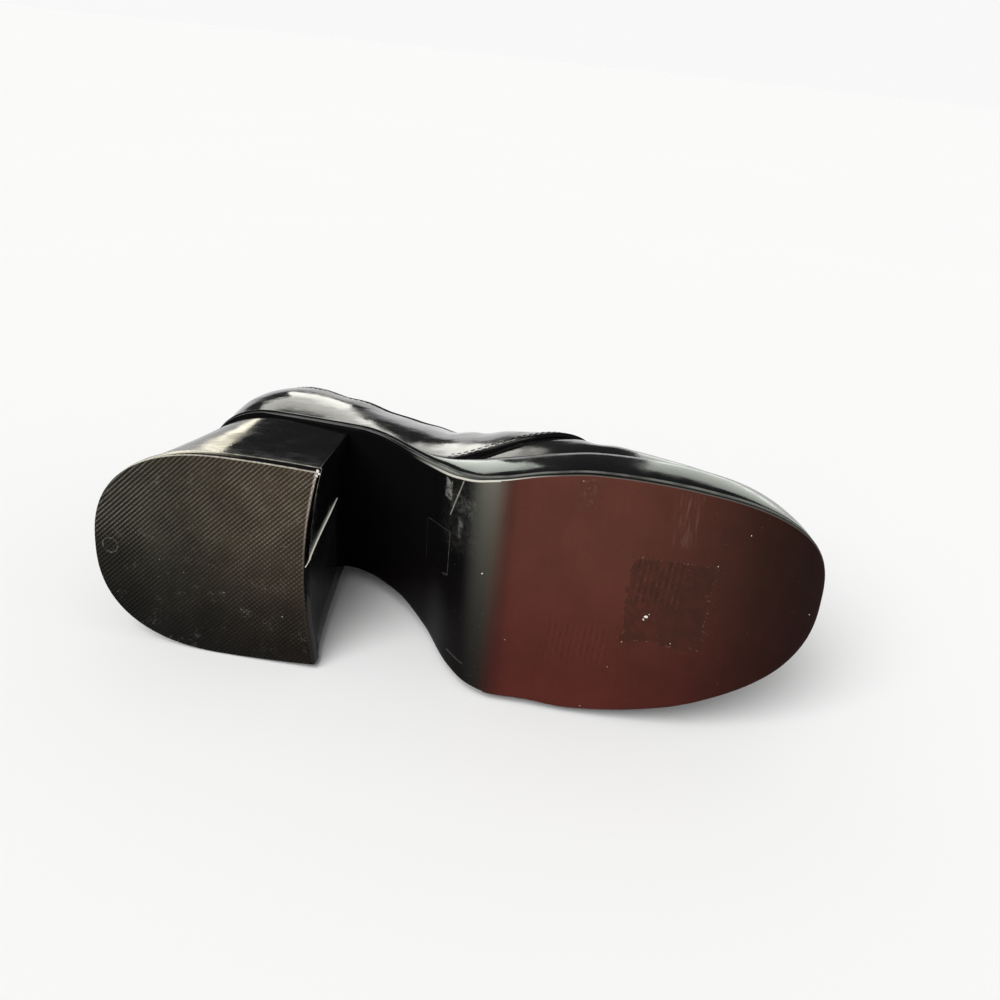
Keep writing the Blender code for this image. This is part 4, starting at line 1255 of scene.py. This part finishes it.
def build_crumbs():
    """Small pale crumbs stuck to the tread."""
    bm = bmesh.new()
    for number, (x, y, size) in enumerate(CRUMBS):
        on_heel = x < HEEL_GROUND["corner"] + 1
        z = 0.05 if on_heel else under_z(x) - 0.05
        slope = 0 if on_heel else under_z(x + 1) - under_z(x)
        shape = (Matrix.Translation((x, y, z)) @ Matrix.Rotation(number * 1.3, 4, "Z")
                 @ Matrix.Rotation(-math.atan(slope), 4, "Y") @ Matrix.Diagonal((size, size * 0.7, 0.3, 1)))
        made = bmesh.ops.create_icosphere(bm, subdivisions=2, radius=0.5, matrix=shape)
        for k, vert in enumerate(made["verts"]):
            vert.co += Vector((math.sin(k * 2.1), math.cos(k * 1.7), 0)) * size * 0.06
    return keep_piece("tread_crumbs", bm, [], [crumb_finish()], smooth_angle=80)


# --- stage ---

def add_light(name, kind, at, ahead, **settings):
    """Light that shines along a direction of the frame."""
    return with_settings(put_in_scene(name, with_settings(bpy.data.lights.new(name, kind), **settings)),
                         location=at, rotation_mode="QUATERNION",
                         rotation_quaternion=ahead.to_track_quat("-Z", "Y"))


def build_floor():
    bm = bmesh.new()
    bmesh.ops.create_circle(bm, cap_ends=True, segments=96, radius=30)
    mesh = bpy.data.meshes.new("floor")
    bm.to_mesh(mesh)
    bm.free()
    mesh.materials.append(floor_finish())
    put_in_scene("floor", mesh)


def build_room():
    """Soft pale room: brighter near the horizon, dim in the shine and even to the camera."""
    world = bpy.data.worlds.new("soft_room")
    world.use_nodes = True
    tree = world.node_tree
    direction = new_node(tree, "TexCoord", {}, "Generated")
    strength = new_node(tree, "MapRange", {
        "Value": new_node(tree, "SeparateXYZ", {"Vector": direction}, "Z"), "From Min": 0.1,
        "From Max": 0.18, "To Min": 0.84, "To Max": 0.45}, interpolation_type="SMOOTHSTEP")
    for ray, seen in (("Is Glossy Ray", 0.05), ("Is Camera Ray", 0.94)):
        strength = new_node(tree, "MapRange", {
            "Value": new_node(tree, "LightPath", {}, ray), "To Min": strength, "To Max": seen})
    background = tree.nodes["Background"].inputs
    feed(background["Strength"], strength)
    feed(background["Color"], (1, 1, 1))
    bpy.context.scene.world = world
    bpy.context.scene.view_settings.view_transform = "Standard"


def build_lights():
    """A wide overhead light, and soft panels that give single pieces their reflections."""
    add_light("overhead", "SUN", (0, 0, 0), Vector((0.3, 0.62, -0.72)), energy=2.8, angle=math.radians(45))
    cream, white, green = (1, 0.94, 0.74), (1, 0.99, 0.91), (0.94, 1, 0.9)
    # Each panel shines only on the pieces whose names start with a word of lit.
    for name, at, size, power, tint, lit in (
            ("heel_panel", (-0.89, 0.92, 0.17), (0.72, 0.36), 3.9, cream, ("heel_block", "heel_top")),
            ("lap_panel", (0.25, 0.1, 0.95), (0.3, 0.3), 13, white, ("breast_lap",)),
            ("side_panel", (0.75, -0.85, 0.35), (0.9, 0.4), 3, white,
             ("upper", "quarters", "collar", "tongue")),
            ("counter_panel", (-0.5, 1.1, 0.4), (0.5, 0.2), 0.8, white, ("upper", "quarters", "collar")),
            ("waist_panel", (-0.44, 1.155, 0.217), (0.21, 0.19), 0.47, white, ("upper", "quarters")),
            ("platform_panel", (-0.43, 1.15, 0.25), (0.33, 0.5), 1.5, green, ("platform", "outsole")),
            ("toe_panel", (0.467, 1.155, 0.25), (0.69, 0.5), 2.1, green,
             ("platform", "outsole", "upper", "quarters"))):
        panel = add_light(name, "AREA", at, Vector((-at[0], -at[1], 0)), energy=power, color=tint,
                          shape="RECTANGLE", size=size[0], size_y=size[1])
        panel.visible_camera = False
        receivers = bpy.data.collections.new(name)
        for piece in bpy.context.scene.objects:
            if piece.name.startswith(lit):
                receivers.objects.link(piece)
        panel.light_linking.receiver_collection = receivers


def build_camera():
    camera = put_in_scene("camera", with_settings(bpy.data.cameras.new("camera"), lens=CAMERA_LENS,
                                                  clip_start=0.01))
    ahead, up = ((SHOE.to_3x3() @ drawn).normalized() for drawn in (CAMERA_AHEAD, CAMERA_UP))
    right = ahead.cross(up).normalized()
    turn = Matrix((right, right.cross(ahead), -ahead)).transposed().to_4x4()
    camera.matrix_world = Matrix.Translation(SHOE @ CAMERA_AT) @ turn
    bpy.context.scene.camera = camera


# --- operators ---

def build_all(*builders):
    """Runs the functions that build an operator's pieces, and returns its result."""
    for build in builders:
        build()
    return {"FINISHED"}


class DERBY_OT_soles(bpy.types.Operator):
    """Build the outsole and the platform"""

    bl_idname = "derby.soles"
    bl_label = "Outsole and platform"

    def execute(self, context):
        return build_all(build_outsole, build_platform)


class DERBY_OT_heel(bpy.types.Operator):
    """Build the covered heel, the lap on its breast and its rubber top piece"""

    bl_idname = "derby.heel"
    bl_label = "Heel"

    def execute(self, context):
        return build_all(build_heel_block, build_breast_lap, build_heel_top_piece)


class DERBY_OT_upper(bpy.types.Operator):
    """Build the upper, the quarters and the rolled edge of the collar"""

    bl_idname = "derby.upper"
    bl_label = "Upper and quarters"

    def execute(self, context):
        return build_all(build_upper, build_quarters, build_collar_binding)


class DERBY_OT_inside(bpy.types.Operator):
    """Build the insole and the tongue"""

    bl_idname = "derby.inside"
    bl_label = "Insole and tongue"

    def execute(self, context):
        return build_all(build_insole, build_tongue)


class DERBY_OT_lacing(bpy.types.Operator):
    """Build the eyelets and run the lace through them"""

    bl_idname = "derby.lacing"
    bl_label = "Eyelets and lace"

    def execute(self, context):
        return build_all(build_eyelets, build_lace)


class DERBY_OT_stitching(bpy.types.Operator):
    """Sew the rows of stitches on the quarters"""

    bl_idname = "derby.stitching"
    bl_label = "Stitching"

    def execute(self, context):
        return build_all(build_stitching)


class DERBY_OT_crumbs(bpy.types.Operator):
    """Scatter the few crumbs stuck to the tread"""

    bl_idname = "derby.crumbs"
    bl_label = "Crumbs"

    def execute(self, context):
        return build_all(build_crumbs)


class DERBY_OT_stage(bpy.types.Operator):
    """Build the floor, the lights and the camera"""

    bl_idname = "derby.stage"
    bl_label = "Stage"

    def execute(self, context):
        return build_all(build_floor, build_room, build_lights, build_camera)


class DERBY_PT_panel(bpy.types.Panel):
    """Sizes, colours and pieces of the derby shoe"""

    bl_idname = "DERBY_PT_panel"
    bl_label = "Derby shoe"
    bl_space_type = "VIEW_3D"
    bl_region_type = "UI"
    bl_category = "Derby shoe"

    def draw(self, context):
        for group in (sizes(), colours()):
            box = self.layout.box()
            for name in group.__annotations__:
                box.prop(group, name)
        for operator in OPERATORS:
            self.layout.operator(operator.bl_idname)


OPERATORS = (DERBY_OT_soles, DERBY_OT_heel, DERBY_OT_upper, DERBY_OT_inside, DERBY_OT_lacing,
             DERBY_OT_stitching, DERBY_OT_crumbs, DERBY_OT_stage)
CLASSES = (DerbySizes, DerbyColours, *OPERATORS, DERBY_PT_panel)


def register():
    for cls in CLASSES:
        bpy.utils.register_class(cls)
    bpy.types.Scene.derby_sizes = bpy.props.PointerProperty(type=DerbySizes)
    bpy.types.Scene.derby_colours = bpy.props.PointerProperty(type=DerbyColours)


def unregister():
    del bpy.types.Scene.derby_colours
    del bpy.types.Scene.derby_sizes
    for cls in reversed(CLASSES):
        bpy.utils.unregister_class(cls)


def main():
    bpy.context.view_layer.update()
    register()
    bpy.ops.derby.soles()
    bpy.ops.derby.heel()
    bpy.ops.derby.upper()
    bpy.ops.derby.inside()
    bpy.ops.derby.lacing()
    bpy.ops.derby.stitching()
    bpy.ops.derby.crumbs()
    bpy.ops.derby.stage()


if __name__ == "__main__":
    main()
